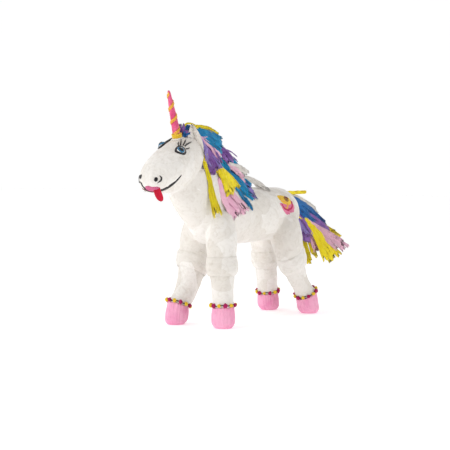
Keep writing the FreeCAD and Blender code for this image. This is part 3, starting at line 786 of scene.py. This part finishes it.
HORN_LEAN, HORN_LONG, HORN_THICK, HORN_POINT = math.radians(17), 110, 8.3, 2.8
HORN_FOOT = mm(0, -275, 452)
HORN_AXIS = Vector((0, -math.sin(HORN_LEAN), math.cos(HORN_LEAN)))
HORN_AHEAD = HORN_AXIS.cross(RIGHT).normalized()
CORD_PITCH, CORD_THICK, CORD_STRANDS, CORD_START = 31, 1.7, 3, 6
COLLAR_PROFILE = (  # out from the horn's axis, and along it
    (9.4, -5.5), (11.4, -2.5), (11.6, 2.0), (12.0, 6.2), (10.6, 8.0), (7.9, 6.0), (7.9, -4.5))


def horn_radius(u):
    """The cone's radius at a share of its length."""
    return (HORN_THICK + (HORN_POINT - HORN_THICK) * u ** 2.1) * MM


def round_horn(a):
    """The way out from the horn's axis at an angle round it."""
    return RIGHT * math.cos(a) + HORN_AHEAD * math.sin(a)


def make_horn_cone():
    """Twisted paper: flats and creases that wind with it, pressed in under the cord."""
    rows, count = [], 70
    for i in range(count + 1):
        u = i / count
        row = []
        for a in angles(36):
            wound = a - 2 * math.pi * HORN_LONG * u / CORD_PITCH
            flat = 0.075 * math.cos(5 * (a - 1.9 * u))
            groove = -0.12 * math.exp(-((((wound / math.pi) % 2) - 1) / 0.22) ** 2)
            crease = 0.07 * ring_noise(wound, 4, u * 22)
            r = horn_radius(u) * (1.03 + flat + groove + crease) * (0.72 if u > 0.985 else 1)
            row.append(HORN_FOOT + HORN_AXIS * (HORN_LONG * MM * u) + round_horn(a) * r)
        rows.append(row)
    cone = Parts()
    cone.grid(rows, wrap=True, ends=True)
    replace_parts(cone.made("horn_paper", MATERIALS["horn_pink"]), "horn_cone")


def make_horn_cord():
    """Strands of gold cord laid side by side, which climb the horn as a right-hand helix."""
    climb = HORN_LONG - 2 * CORD_START
    steps = int(climb / CORD_PITCH * 60)
    cord = Parts()
    for strand in range(CORD_STRANDS):
        beside = (strand - (CORD_STRANDS - 1) / 2) * CORD_THICK * 1.35
        path = []
        for i in range(steps + 1):
            h = CORD_START + climb * i / steps
            wave = 0.0003 * math.sin(i * 0.8 + strand * 2)
            reach = horn_radius(min(1, h / HORN_LONG)) * 0.96 + CORD_THICK * MM * 0.45 + wave
            path.append(HORN_FOOT + HORN_AXIS * ((h + beside) * MM)
                        + round_horn(2 * math.pi * h / CORD_PITCH + math.pi) * reach)
        cord.tube(path, lambda u: CORD_THICK * MM * (0.8 + 0.2 * min(1, (1 - u) * 6)), 8)
    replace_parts(cord.made("horn_cord_wound", MATERIALS["gold_cord"]), "horn_cord")


def make_horn_collar():
    """A crinkled yellow ring at the horn's foot, on a torn skirt of the white paper."""
    rows = []
    for out, high in COLLAR_PROFILE:
        row = []
        for j, a in enumerate(angles(72)):
            rise = high + 0.9 * wobble(j * 0.9, high, 3)
            reach = out + 0.55 * math.sin(9 * a + high) + 0.5 * wobble(j, out, 1)
            row.append(HORN_FOOT + HORN_AXIS * (rise * MM) + round_horn(a) * (reach * MM))
        rows.append(row)
    collar = Parts()
    collar.grid(rows + rows[:1], wrap=True)
    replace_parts(collar.made("horn_collar_paper", MATERIALS["yellow_cord"]), "horn_collar")
    inner, outer, under = [], [], []
    for k, a in enumerate(angles(90)):
        way = round_horn(a)
        tooth = 1.4 * (k % 3 == 0) + 1.2 * wobble(k * 1.3, 0, 0)
        inner.append(HORN_FOOT + way * 0.0098 - HORN_AXIS * 0.0015)
        q, n = on_skin(HORN_FOOT + way * ((14.5 + tooth) * MM) - HORN_AXIS * 0.007, 0.0012)
        outer.append(q)
        under.append(q - n * 0.0012)
    skirt = Parts()
    skirt.grid([inner, outer, under, [p - HORN_AXIS * 0.003 for p in inner]], wrap=True)
    skirt.made("horn_skirt_paper", MATERIALS["white_crepe"])


# ---------------------------------------------------------------- legs: wraps, hooves and anklets

LEG_LINES = {  # the centres of the ankle, the sole and the knee
    "front_left": ((66, -182, 50), (66, -182, 0), (62, -181, 135)),
    "front_right": ((-70, -179, 46), (-72, -186, 0), (-60, -135, 136)),
    "hind_left": ((65, 192, 50), (66, 204, 0), (58, 140, 128)),
    "hind_right": ((-62, 205, 46), (-62, 210, 0), (-57, 186, 128)),
}
HOOF_RADIUS = 27.0
LEAST_REACH, MISSED_REACH, MOST_REACH = 0.018, 0.027, 0.045
WRAP_TALL, WRAP_RAISE, WRAP_PUFF, WRAP_FOLD, WRAP_CRINKLE = 0.046, 0.012, 0.0068, 0.0017, 0.0008


def ring_fit(node):
    """Centre, axis and radius of a ring-shaped CAD node."""
    co = np.array([v.co for v in NODES[node].data.vertices], float)
    centre = (co.max(0) + co.min(0)) / 2
    _, _, axes = np.linalg.svd(co - co.mean(0), full_matrices=False)
    axis = Vector(axes[2])
    if axis.z < 0:
        axis = -axis
    flat = co - centre
    flat = flat - np.outer(flat @ np.array(axis), np.array(axis))
    reach = np.linalg.norm(flat, axis=1)
    return Vector(centre), axis, float(reach.max() + reach.min()) / 2


def skin_reach(centre, way):
    """How far the coat is from a leg's centre in one direction."""
    hit, _, _, _ = SKIN.ray_cast(centre, way)
    reach = (hit - centre).length if hit is not None else MISSED_REACH
    return min(max(reach, LEAST_REACH), MOST_REACH)


def make_wrap(leg):
    """Crepe wound round the knee: puffy bands with pinched folds between them."""
    low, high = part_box("knee_wrap_" + leg)
    foot, top = Vector(LEG_LINES[leg][0]) * MM, Vector(LEG_LINES[leg][2]) * MM
    seed = LEGS.index(leg) * 3.7
    axis = (top - foot).normalized()
    centre = (low + high) / 2 + axis * WRAP_RAISE
    side = axis.cross(Vector((0, 1, 0))).normalized()
    other = axis.cross(side)
    parts, rows = Parts(), []
    steps = 30
    for i in range(steps + 1):
        u = i / steps
        row = []
        for a in angles(96):
            way = side * math.cos(a) + other * math.sin(a)
            wander = 0.0022 * ring_noise(a, 2, seed)
            p = centre + axis * (WRAP_TALL * (u - 0.5) + wander)
            puff = WRAP_PUFF * math.sin(math.pi * (0.08 + 0.92 * u)) ** 0.55 * (1 - 0.62 * u)
            winding = 2.6 * u + 0.35 * math.sin(a + seed) + 0.5 * wobble(a, u * 2, seed)
            fold = WRAP_FOLD * abs(math.sin(math.pi * winding)) ** 0.6
            crinkle = WRAP_CRINKLE * ring_noise(a, 9, u * 14 + seed)
            rise = puff + (fold + crinkle) * math.sin(math.pi * u) ** 0.4 - 0.0012 * (u in (0, 1))
            row.append(p + way * (skin_reach(p, way) + rise))
        rows.append(row)
    parts.grid(rows, wrap=True)
    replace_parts(parts.made("knee_band_" + leg, MATERIALS["white_crepe"]), "knee_wrap_" + leg)


def make_hoof(leg):
    """A pink crepe boot: gathered into upright pleats, rounded under, flat on the floor."""
    ankle, sole = Vector(LEG_LINES[leg][0]) * MM, Vector(LEG_LINES[leg][1]) * MM
    parts, rows = Parts(), []
    seed = LEGS.index(leg) * 5.1 + 2
    _, slant, _ = ring_fit("anklet_cord_" + leg)
    slope = math.hypot(slant.x, slant.y) / slant.z
    sides, tall = 120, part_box("hoof_" + leg)[1].z - HOOF_RADIUS * MM * slope * 0.9
    levels = [0, 0.0008, 0.003, 0.006, 0.010] + [0.010 + (tall - 0.010) * k / 16 for k in range(1, 17)]
    for z in levels:
        u = z / tall
        c = sole.lerp(ankle, min(z / ankle.z, 1.0))
        c.z = z
        tuck = (1 - 0.28 * max(0.0, 1 - z / 0.015) ** 2.2) * (1 - 0.05 * max(0.0, u - 0.6) / 0.4)
        row = []
        for a in angles(sides):
            pleat = abs(math.sin(a * 11 + 1.6 * ring_noise(a, 2, seed)))
            fine = ring_noise(a, 7, u * 2.5 + seed)
            plump = HOOF_RADIUS * (1.0 + 0.035 * math.sin(math.pi * u))
            r = (plump + 1.3 * (pleat - 0.6) + 0.9 * fine) * tuck
            edge = 0.0016 * ring_noise(a, 6, seed + 9) if u > 0.99 else 0
            tilt = -(slant.x * math.cos(a) + slant.y * math.sin(a)) / slant.z * r * MM * u ** 3
            row.append(c + Vector((math.cos(a) * r * MM, math.sin(a) * r * MM, edge + tilt)))
        rows.append(row)
    lip = [Vector((v.x + (c.x - v.x) * 0.20, v.y + (c.y - v.y) * 0.20, v.z - 0.003)) for v in rows[-1]]
    rows.append(lip)
    parts.grid(rows, wrap=True)
    parts.faces.append(tuple(reversed(range(sides))))
    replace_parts(parts.made("hoof_crepe_" + leg, MATERIALS["pink_crepe"]), "hoof_" + leg)


def make_anklet_cord(leg):
    """Two twisted strands round the ankle, sagging a little between the beads."""
    centre, axis, radius = ring_fit("anklet_cord_" + leg)
    side = axis.orthogonal().normalized()
    other = axis.cross(side)
    parts = Parts()
    for strand in (0, math.pi):
        path = []
        for i, a in enumerate(angles(360) + [2 * math.pi]):
            way = side * math.cos(a) + other * math.sin(a)
            sag = 0.0011 * math.sin(6 * a) + 0.0008 * ring_noise(a, 1, radius * 900)
            twist = i * 0.9 + strand
            p = clear_of_skin(centre + way * radius + axis * sag, 0.0008)
            path.append(p + (way * math.cos(twist) + axis * math.sin(twist)) * 0.00055)
        parts.tube(path, 0.00075, 6)
    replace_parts(parts.made("anklet_twist_" + leg, MATERIALS["black_cord"]), "anklet_cord_" + leg)


def islands(node):
    """The centre of each separate solid in a CAD node."""
    mesh = NODES[node].data
    parent = list(range(len(mesh.vertices)))

    def find(i):
        while parent[i] != i:
            parent[i] = parent[parent[i]]
            i = parent[i]
        return i

    seen = {}
    for v in mesh.vertices:
        key = tuple(round(c * 1e5) for c in v.co)
        parent[find(v.index)] = find(seen.setdefault(key, v.index))
    for e in mesh.edges:
        parent[find(e.vertices[0])] = find(e.vertices[1])
    groups = {}
    for v in mesh.vertices:
        groups.setdefault(find(v.index), []).append(np.array(v.co))
    return [Vector((np.max(g, 0) + np.min(g, 0)) / 2) for g in groups.values()]


def make_beads(colour, rough, size):
    """Fuzzy pom-poms threaded on the anklets. rough is how far they are from round."""
    rng = random.Random(31 if colour == "yellow" else 57)
    ball = bmesh.new()
    bmesh.ops.create_icosphere(ball, subdivisions=3, radius=1)
    unit = [v.co.copy() for v in ball.verts]
    faces = [tuple(v.index for v in f.verts) for f in ball.faces]
    ball.free()
    parts = Parts()
    for n, centre in enumerate(islands("anklet_beads_" + colour)):
        scale = size * rng.uniform(0.88, 1.1)
        stretch = Vector((rng.uniform(0.85, 1.15), rng.uniform(0.85, 1.15), rng.uniform(0.9, 1.2)))
        made = []
        for d in unit:
            bump = 1 + rough * noise.noise(d * 1.8 + Vector((n * 3.1, 0, 0))) \
                + 0.16 * noise.noise(d * 6 + Vector((0, n * 2.3, 0)))
            made.append(centre + Vector((d.x * stretch.x, d.y * stretch.y, d.z * stretch.z)) * (scale * bump))
        parts.add(made, faces)
        for _ in range(46):
            d = Vector((rng.gauss(0, 1), rng.gauss(0, 1), rng.gauss(0, 1))).normalized()
            side = d.orthogonal().normalized() * 0.00035
            base = centre + d * (scale * 0.8)
            tip = centre + d * (scale * rng.uniform(1.18, 1.42)) + side * rng.uniform(-3, 3)
            third = d.cross(side).normalized() * 0.00035
            parts.add([base + side, base - side, base + third, tip],
                      [(0, 1, 3), (1, 2, 3), (2, 0, 3), (2, 1, 0)])
    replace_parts(parts.made(f"pompoms_{colour}", MATERIALS[colour + "_pompom"]), "anklet_beads_" + colour)


# ---------------------------------------------------------------- crepe streamers

STREAMERS = {}
RIBBON_ACROSS, RIBBON_THICK = 9, 0.0007


def ribbon(colour, points, widths, face, seed, teeth=0.08, crinkle=0.0011, gap=0.0035, curl=0.0):
    """A strip of crepe along a smooth line of points (mm), with a crinkled face and a torn, toothed end."""
    rng = random.Random(seed)
    line = spline_points([mm(*p) for p in points], 60)
    line = [line[0]] + [clear_of_skin(p, gap) for p in line[1:]]
    long = curve_length(line)
    steps = max(10, int(long / 0.0030))
    across = RIBBON_ACROSS
    ends = [1 - teeth * (rng.uniform(0.5, 1.0) if j % 2 else rng.uniform(0.0, 0.25)) for j in range(across)]
    front, back, uvs = [], [], []
    for i in range(steps + 1):
        u = i / steps
        row, under = [], []
        for j in range(across):
            k = j / (across - 1) * 2 - 1
            s = u * ends[j] * (len(line) - 1)
            a = min(int(s), len(line) - 2)
            p = line[a].lerp(line[a + 1], s - a)
            t = (line[min(a + 2, len(line) - 1)] - line[max(a - 1, 0)]).normalized()
            side = t.cross(face).normalized()
            out = side.cross(t).normalized()
            w = u * (len(widths) - 1)
            b = min(int(w), len(widths) - 2)
            half = (widths[b] + (widths[b + 1] - widths[b]) * (w - b)) * MM / 2
            half *= 1 + 0.13 * wobble(u * long / 0.02, seed * 1.7, 0)
            wave = wobble(u * long / 0.0075, k * 1.3, seed * 3.3)
            ruffle = wobble(u * long / 0.013, k * 0.8, seed * 9.1) * (0.4 + abs(k))
            lift = crinkle * (wave + 1.1 * ruffle) + curl * MM * (1 - k * k)
            q = p + side * (half * k) + out * lift
            row.append(q)
            under.append(q - out * RIBBON_THICK)
            uvs.append((k * half, u * long))
        uvs += [uvs[len(uvs) - 1 - j] for j in range(across)]
        front.append(row)
        back.append(under)
    STREAMERS.setdefault(colour, Parts()).sheet(front, back, uvs)


def flush_streamers(prefix, nodes_of):
    """Makes one piece for each colour gathered so far, standing for the CAD node of that colour."""
    for colour in sorted(STREAMERS):
        made = STREAMERS[colour].made(f"{prefix}_{colour}_crepe", MATERIALS[colour + "_crepe_strip"])
        node = nodes_of.format(colour)
        if node in NODES:
            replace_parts(made, node)
    STREAMERS.clear()


LEFT_FACE = Vector((0.78, -0.35, 0.52))
RIGHT_FACE = Vector((-0.78, -0.35, 0.52))

# Each lock: colour, the line it takes from the crest outwards, widths from root to tip.
MANE_LEFT = (
    ("yellow", ((-2, -226, 458), (0, -200, 474), (8, -166, 470), (14, -136, 459)), (6, 8, 6)),
    ("teal", ((0, -222, 452), (5, -198, 465), (18, -167, 452), (30, -136, 431)), (14, 26, 24)),
    ("pink", ((4, -216, 446), (10, -199, 453), (24, -172, 433), (38, -152, 402)), (8, 13, 12)),
    ("purple", ((6, -208, 440), (14, -193, 434), (30, -178, 410), (45, -172, 378)), (12, 25, 22), 5),
    ("lilac", ((10, -200, 436), (22, -182, 424), (38, -168, 398), (48, -160, 376)), (6, 9, 9), 7),
    ("purple", ((2, -178, 412), (8, -139, 432), (18, -112, 418), (27, -92, 397)), (8, 20, 22)),
    ("purple", ((2, -170, 405), (10, -118, 424), (16, -82, 418), (22, -58, 404)), (3, 3, 2)),
    ("purple", ((2, -165, 400), (12, -110, 415), (20, -75, 404), (24, -60, 392)), (3, 2, 2)),
    ("teal", ((4, -168, 398), (12, -137, 401), (22, -122, 387), (31, -111, 367)), (8, 13, 12)),
    ("pink", ((2, -130, 380), (5, -103, 400), (11, -91, 389), (17, -82, 371)), (6, 8, 8)),
    ("teal", ((0, -112, 372), (3, -75, 400), (8, -52, 391), (13, -33, 373)), (8, 15, 14)),
    ("blue", ((0, -118, 372), (1, -84, 398), (6, -60, 390), (10, -42, 374)), (6, 10, 9)),
    ("purple", ((20, -216, 425), (32, -210, 402), (43, -205, 385), (53, -203, 363)), (12, 15, 12)),
    ("yellow", ((14, -186, 398), (32, -176, 382), (46, -156, 358), (59, -134, 325)), (12, 26, 44), 9),
    ("yellow", ((16, -180, 394), (36, -160, 380), (50, -138, 356), (58, -118, 330)), (8, 14, 20), 8),
    ("pink", ((4, -150, 392), (14, -104, 388), (26, -72, 374), (36, -52, 350)), (8, 14, 14)),
    ("teal", ((8, -128, 372), (24, -92, 362), (38, -66, 338), (50, -46, 306)), (8, 15, 15)),
    ("blue", ((6, -122, 368), (20, -88, 366), (32, -60, 346), (42, -40, 318)), (8, 16, 16)),
    ("white", ((6, -140, 380), (18, -88, 384), (24, -52, 376), (30, -26, 364)), (8, 16, 15)),
    ("yellow", ((28, -224, 420), (44, -228, 396), (52, -220, 352), (60, -215, 308), (67, -208, 268)),
     (6, 9, 13, 15)),
    ("white", ((0, -98, 360), (5, -74, 371), (11, -48, 365), (17, -17, 356)), (10, 15, 13)),
    ("teal", ((0, -84, 352), (8, -58, 362), (16, -30, 352), (24, -2, 336)), (6, 10, 9)),
    ("blue", ((2, -96, 354), (11, -76, 356), (21, -45, 343), (31, -8, 326)), (9, 15, 17)),
    ("lilac", ((6, -86, 346), (21, -67, 344), (31, -42, 328), (42, -22, 307)), (11, 20, 20)),
    ("blue", ((8, -84, 340), (24, -62, 336), (36, -38, 316), (45, -22, 297)), (5, 7, 6)),
    ("pink", ((34, -172, 352), (46, -172, 334), (59, -148, 302), (72, -121, 269)), (12, 30, 36), 2),
    ("pink", ((32, -146, 346), (44, -140, 325), (58, -116, 298), (70, -98, 276)), (10, 20, 22), 2),
    ("teal", ((16, -124, 350), (39, -105, 325), (49, -82, 302), (59, -62, 277)), (5, 9, 8)),
    ("white", ((0, -62, 342), (8, -10, 352), (18, 28, 340), (28, 58, 322)), (7, 13, 12)),
    ("purple", ((0, -40, 338), (4, -16, 350), (8, 0, 347), (12, 12, 340)), (3, 4, 3)),
    ("lilac", ((14, -226, 438), (26, -226, 424), (39, -226, 404), (48, -218, 382)), (7, 11, 10), 5),
)
MANE_RIGHT = (
    ("pink", ((0, -222, 452), (-8, -198, 460), (-22, -170, 440), (-34, -146, 412)), (12, 24, 22)),
    ("teal", ((-4, -214, 444), (-18, -200, 440), (-36, -182, 410), (-48, -170, 374)), (12, 24, 24)),
    ("yellow", ((-14, -218, 436), (-38, -222, 405), (-50, -214, 362), (-60, -206, 312)), (8, 11, 15)),
    ("blue", ((-2, -182, 408), (-14, -142, 420), (-26, -112, 402), (-36, -96, 376)), (9, 18, 18)),
    ("purple", ((-8, -180, 398), (-30, -164, 376), (-46, -146, 345), (-58, -134, 308)), (10, 20, 24)),
    ("white", ((-2, -120, 376), (-12, -84, 392), (-24, -58, 376), (-32, -42, 352)), (9, 17, 16)),
    ("pink", ((-12, -130, 362), (-34, -112, 344), (-48, -92, 316), (-60, -80, 284)), (10, 20, 22)),
    ("teal", ((-4, -92, 352), (-18, -62, 352), (-34, -36, 330), (-46, -20, 300)), (9, 17, 17)),
    ("lilac", ((-2, -66, 344), (-12, -26, 350), (-26, 8, 334), (-38, 34, 312)), (7, 15, 15)),
    ("yellow", ((-2, -150, 388), (-16, -108, 396), (-32, -84, 374), (-42, -70, 346)), (6, 12, 14)),
    ("blue", ((-16, -170, 378), (-42, -160, 346), (-56, -150, 312), (-66, -146, 276)), (7, 12, 12)),
)
FORELOCK = (
    ("purple", ((-4, -256, 452), (-4, -259, 468), (-2, -262, 480)), (6, 7, 2)),
    ("purple", ((4, -252, 450), (4, -254, 470), (2, -252, 484)), (6, 7, 2)),
    ("yellow", ((0, -250, 454), (2, -246, 479), (8, -232, 483), (12, -218, 478)), (4, 5, 4)),
    ("blue", ((2, -254, 450), (3, -252, 466), (5, -240, 474), (6, -222, 472)), (8, 13, 11)),
    ("blue", ((0, -256, 448), (1, -256, 462), (3, -244, 468), (4, -226, 466)), (8, 13, 11)),
    ("purple", ((6, -258, 446), (8, -258, 458), (10, -250, 464), (11, -238, 463)), (8, 12, 9)),
    ("blue", ((-6, -250, 448), (-8, -244, 468), (-10, -230, 470), (-11, -220, 460)), (7, 10, 8)),
    ("blue", ((6, -264, 446), (10, -260, 455), (13, -254, 460), (14, -246, 460)), (8, 11, 8)),
)
TAIL_LEFT = (
    ("white", ((0, 196, 300), (0, 232, 300), (5, 284, 282), (10, 338, 254)), (9, 15, 16)),
    ("blue", ((2, 200, 292), (11, 226, 288), (24, 276, 256), (37, 334, 216)), (10, 19, 17)),
    ("blue", ((0, 202, 288), (14, 228, 272), (26, 262, 246), (34, 300, 224)), (9, 16, 14)),
    ("yellow", ((4, 206, 268), (20, 230, 246), (26, 256, 237), (32, 288, 225)), (3, 5, 5)),
    ("purple", ((4, 206, 284), (20, 258, 258), (36, 298, 231), (52, 334, 205)), (8, 15, 17)),
    ("lilac", ((4, 206, 272), (16, 234, 242), (24, 244, 226), (31, 248, 208)), (8, 15, 15)),
    ("purple", ((4, 208, 266), (16, 236, 232), (28, 244, 205), (41, 240, 180)), (8, 14, 15)),
    ("pink", ((6, 208, 272), (22, 256, 224), (36, 276, 206), (52, 290, 190)), (8, 13, 13)),
    ("pink", ((6, 210, 266), (22, 254, 222), (34, 266, 190), (46, 266, 160)), (8, 13, 13)),
    ("yellow", ((24, 246, 242), (40, 264, 216), (58, 282, 178), (81, 304, 132)), (10, 20, 29)),
    ("yellow", ((4, 208, 280), (22, 280, 242), (42, 332, 212), (62, 358, 194)), (5, 9, 8)),
    ("pink", ((6, 208, 278), (34, 276, 226), (62, 310, 194), (91, 344, 164)), (9, 18, 22)),
    ("lilac", ((4, 210, 272), (26, 266, 216), (50, 296, 184), (76, 325, 149)), (5, 7, 6)),
    ("yellow", ((6, 212, 258), (16, 244, 206), (26, 252, 166), (36, 256, 128)), (5, 7, 9)),
    ("yellow", ((6, 212, 260), (22, 256, 204), (34, 264, 172), (46, 266, 142)), (5, 7, 8)),
    ("purple", ((4, 208, 274), (20, 240, 246), (34, 258, 220), (46, 272, 196)), (10, 16, 14)),
)
TAIL_RIGHT = (
    ("pink", ((-2, 202, 292), (-12, 250, 278), (-26, 318, 244), (-40, 378, 204)), (9, 17, 20)),
    ("blue", ((-4, 206, 284), (-22, 252, 256), (-42, 304, 218), (-62, 350, 176)), (9, 17, 18)),
    ("yellow", ((-6, 208, 276), (-30, 252, 232), (-56, 282, 186), (-84, 308, 142)), (9, 17, 22)),
    ("white", ((-4, 206, 270), (-16, 250, 236), (-30, 300, 206), (-44, 352, 180)), (8, 14, 16)),
    ("purple", ((-4, 208, 266), (-18, 244, 222), (-34, 264, 180), (-50, 272, 140)), (8, 15, 17)),
    ("lilac", ((-2, 208, 262), (-8, 248, 216), (-14, 268, 176), (-20, 276, 144)), (8, 15, 15)),
    ("purple", ((0, 206, 288), (-2, 262, 268), (-6, 326, 236), (-12, 382, 200)), (8, 15, 18)),
    ("pink", ((0, 210, 262), (4, 262, 222), (8, 306, 190), (10, 340, 168)), (8, 15, 16)),
)


def make_locks(locks, face, first_seed, fingers, spread, curl=0.6, fuller=1.3):
    """Each lock is one strip of crepe, with narrower torn fingers of it laid over, beside and under it."""
    for n, (colour, points, widths, *more) in enumerate(locks):
        rng = random.Random(first_seed + n)
        gap = more[0] * MM if more else 0.0035
        ribbon(colour, points, widths, face, first_seed + n * 17, teeth=rng.uniform(0.08, 0.16), gap=gap,
               curl=curl * min(widths) / 8)
        if max(widths) < 7:
            continue
        widths = [w * fuller for w in widths]
        line = [Vector(p) for p in points]
        side = (line[-1] - line[0]).cross(face).normalized()
        out = side.cross(line[-1] - line[0]).normalized()
        for k in range(fingers):
            place = (k + 0.5) / fingers * 2 - 1 + rng.uniform(-0.15, 0.15)
            reach = rng.uniform(0.86, 1.10)
            layer = rng.choice((-2.2, 1.4, 2.0))
            moved = []
            for i, p in enumerate(line):
                u = i / (len(line) - 1)
                w = widths[min(int(u * (len(widths) - 1)), len(widths) - 1)]
                stray = Vector((rng.uniform(-1, 1), rng.uniform(-1, 1), rng.uniform(-1, 1))) * spread * u
                q = line[0] + (p - line[0]) * (1 + (reach - 1) * u)
                beside = side * (place * w * (0.30 + 0.28 * u))
                moved.append(q + beside + out * layer * (0.4 + 0.6 * u) + stray)
            narrow = rng.uniform(0.26, 0.42)
            ribbon(colour, moved, [w * narrow + 1.2 for w in widths], face, first_seed + n * 17 + k + 1,
                   teeth=rng.uniform(0.10, 0.22), crinkle=0.0015, gap=gap, curl=curl)


def make_mane():
    make_locks(MANE_LEFT, LEFT_FACE, 100, 5, 3)
    make_locks(MANE_RIGHT, RIGHT_FACE, 400, 5, 3)
    make_locks(FORELOCK, Vector((0.6, -0.6, 0.5)), 700, 3, 1.5)
    flush_streamers("mane", "mane_strips_{}")


def make_crest_band():
    """The strip that the locks are pasted to, along the crest."""
    line = [(0, -238, 453), (0, -208, 448), (0, -182, 398), (0, -128, 371), (0, -61, 342)]
    parts = Parts()
    points = spline_points([mm(*p) for p in line], 90)
    stroke(parts, points, 0.020, 0.0016, 0.06)
    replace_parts(parts.made("crest_band_crepe", MATERIALS["purple_crepe_strip"]), "mane_band")


ROLL_START, ROLL_LONG, ROLL_HEIGHT, ROLL_TURNS = 168, 124, 309.6, 13


def make_tail():
    """The locks that fan out from the rump, and the rolled yellow strip above them."""
    make_locks(TAIL_LEFT, Vector((0.55, -0.55, 0.62)), 900, 6, 4, fuller=1.6)
    make_locks(TAIL_RIGHT, Vector((-0.45, -0.55, 0.7)), 1300, 6, 4, fuller=1.6)
    roll = Parts()
    path = [mm(0, ROLL_START + ROLL_LONG * i / 40, ROLL_HEIGHT + 1.2 * math.sin(i * 0.5)) for i in range(41)]
    roll.tube(path, lambda u: (3.4 + 0.7 * math.sin(u * 40) * 0.3 + 0.9 * math.sin(math.pi * u)) * MM, 18)
    for turn in range(2):
        wound = []
        for i in range(260):
            u = i / 259
            a = u * 2 * math.pi * ROLL_TURNS + turn * math.pi
            along = ROLL_START + 2 + (ROLL_LONG - 4) * u
            wound.append(mm(4.0 * math.cos(a), along, ROLL_HEIGHT + 4.0 * math.sin(a)))
        roll.tube(wound, 0.0008, 6)
    roll.made("tail_roll_crepe", MATERIALS["yellow_crepe_strip"])
    flush_streamers("tail", "tail_strips_{}")


# ---------------------------------------------------------------- frame pieces, floor, light and camera

FRAME_FINISH = {
    "torso_shell": "newspaper",
    "fill_flap": "newspaper",
    "flap_hinge_tape": "masking_tape",
    "hanger_dowel": "raw_wood",
    "hanger_pad_left": "masking_tape",
    "hanger_pad_right": "masking_tape",
    "tail_plug": "purple_crepe_strip",
}


def dress_frame():
    """Each CAD node gets its own finish. The ones that a piece stands for don't show."""
    for name, node in NODES.items():
        for slot in node.material_slots:
            slot.material = MATERIALS[FRAME_FINISH.get(name, "white_crepe")]


BRIGHT_SIDE = (-0.56, 0.72, 0.41)  # the white backdrop stands this way from the figure
ROOM_DIM, ROOM_BRIGHT = (0.15, 0.135, 0.12), (1.01, 1.01, 1.01)
FLOOR_GLOW = 0.30  # lifts the floor to the backdrop's white, so that no horizon shows
FLOOR_HALF = 9
WHITE = (1, 1, 1, 1)
CAMERA_PLACE, CAMERA_TARGET = (1.9599, -2.8796, 0.4169), (-0.0449, -0.0165, 0.2337)


def aim(holder, place, target):
    """Puts a light or a camera in the scene, looking at a place."""
    holder.location = place
    holder.rotation_mode = "QUATERNION"
    holder.rotation_quaternion = (Vector(target) - Vector(place)).to_track_quat("-Z", "Y")
    bpy.context.scene.collection.objects.link(holder)
    return holder


def make_floor():
    tree = new_tree("floor_paper")
    pale = tree.ramp(tree.noise(tree.where, 3.0, 3, 0.5), (0.3, (0.955,) * 3), (0.7, (0.965,) * 3))
    tree.fill(tree.nodes["Principled BSDF"], {"Base Color": pale, "Roughness": 0.9,
                                              "Emission Color": WHITE, "Emission Strength": FLOOR_GLOW})
    floor = Parts()
    floor.grid([[Vector((x, y, 0)) for x in (-FLOOR_HALF, FLOOR_HALF)] for y in (-FLOOR_HALF, FLOOR_HALF)])
    floor.made("studio_floor", tree.owner, body=None)


def make_room():
    """A room that brightens from the dim side, behind the camera, to the white backdrop."""
    world = bpy.data.worlds.new("studio")
    sky = Tree(world)
    toward = sky.nodes.new("ShaderNodeVectorMath")
    toward.operation = "DOT_PRODUCT"
    facing = sky.fill(toward, {0: sky.way, 1: BRIGHT_SIDE})["Value"]
    share = sky.add("MapRange", {"Value": facing, "From Min": -0.5, "From Max": 0.55})["Result"]
    sky.fill(sky.nodes["Background"], {"Color": sky.ramp(share, (0.0, ROOM_DIM), (1.0, ROOM_BRIGHT))})
    bpy.context.scene.world = world


def make_light(name, place, target, size, power):
    light = bpy.data.lights.new(name, "AREA")
    light.shape = "RECTANGLE"
    light.size, light.size_y = size
    light.energy = power
    aim(bpy.data.objects.new(name, light), place, target)


def make_camera():
    camera = bpy.data.cameras.new("camera")
    camera.lens = 112
    camera.sensor_width = 36
    bpy.context.scene.camera = aim(bpy.data.objects.new("camera", camera), CAMERA_PLACE, CAMERA_TARGET)


make_camera()
make_floor()
make_room()
make_light("key_light", (-0.9, -2.8, 1.1), (0, -0.05, 0.28), (1.3, 1.0), 36)
make_light("fill_light", (2.7, -0.2, 0.8), (0, 0, 0.2), (1.2, 1.0), 17)
bpy.context.scene.view_settings.view_transform = "Standard"
for side, name in SIDES:
    make_eye(side, name)
    make_hip_mark(side, name)
    make_ear(side, name)
make_muzzle()
make_tongue()
make_horn_cone()
make_horn_cord()
make_horn_collar()
for leg in LEGS:
    make_wrap(leg)
    make_hoof(leg)
    make_anklet_cord(leg)
make_beads("yellow", 0.10, 0.0044)
make_beads("magenta", 0.55, 0.0046)
make_crest_band()
make_mane()
make_tail()
dress_frame()
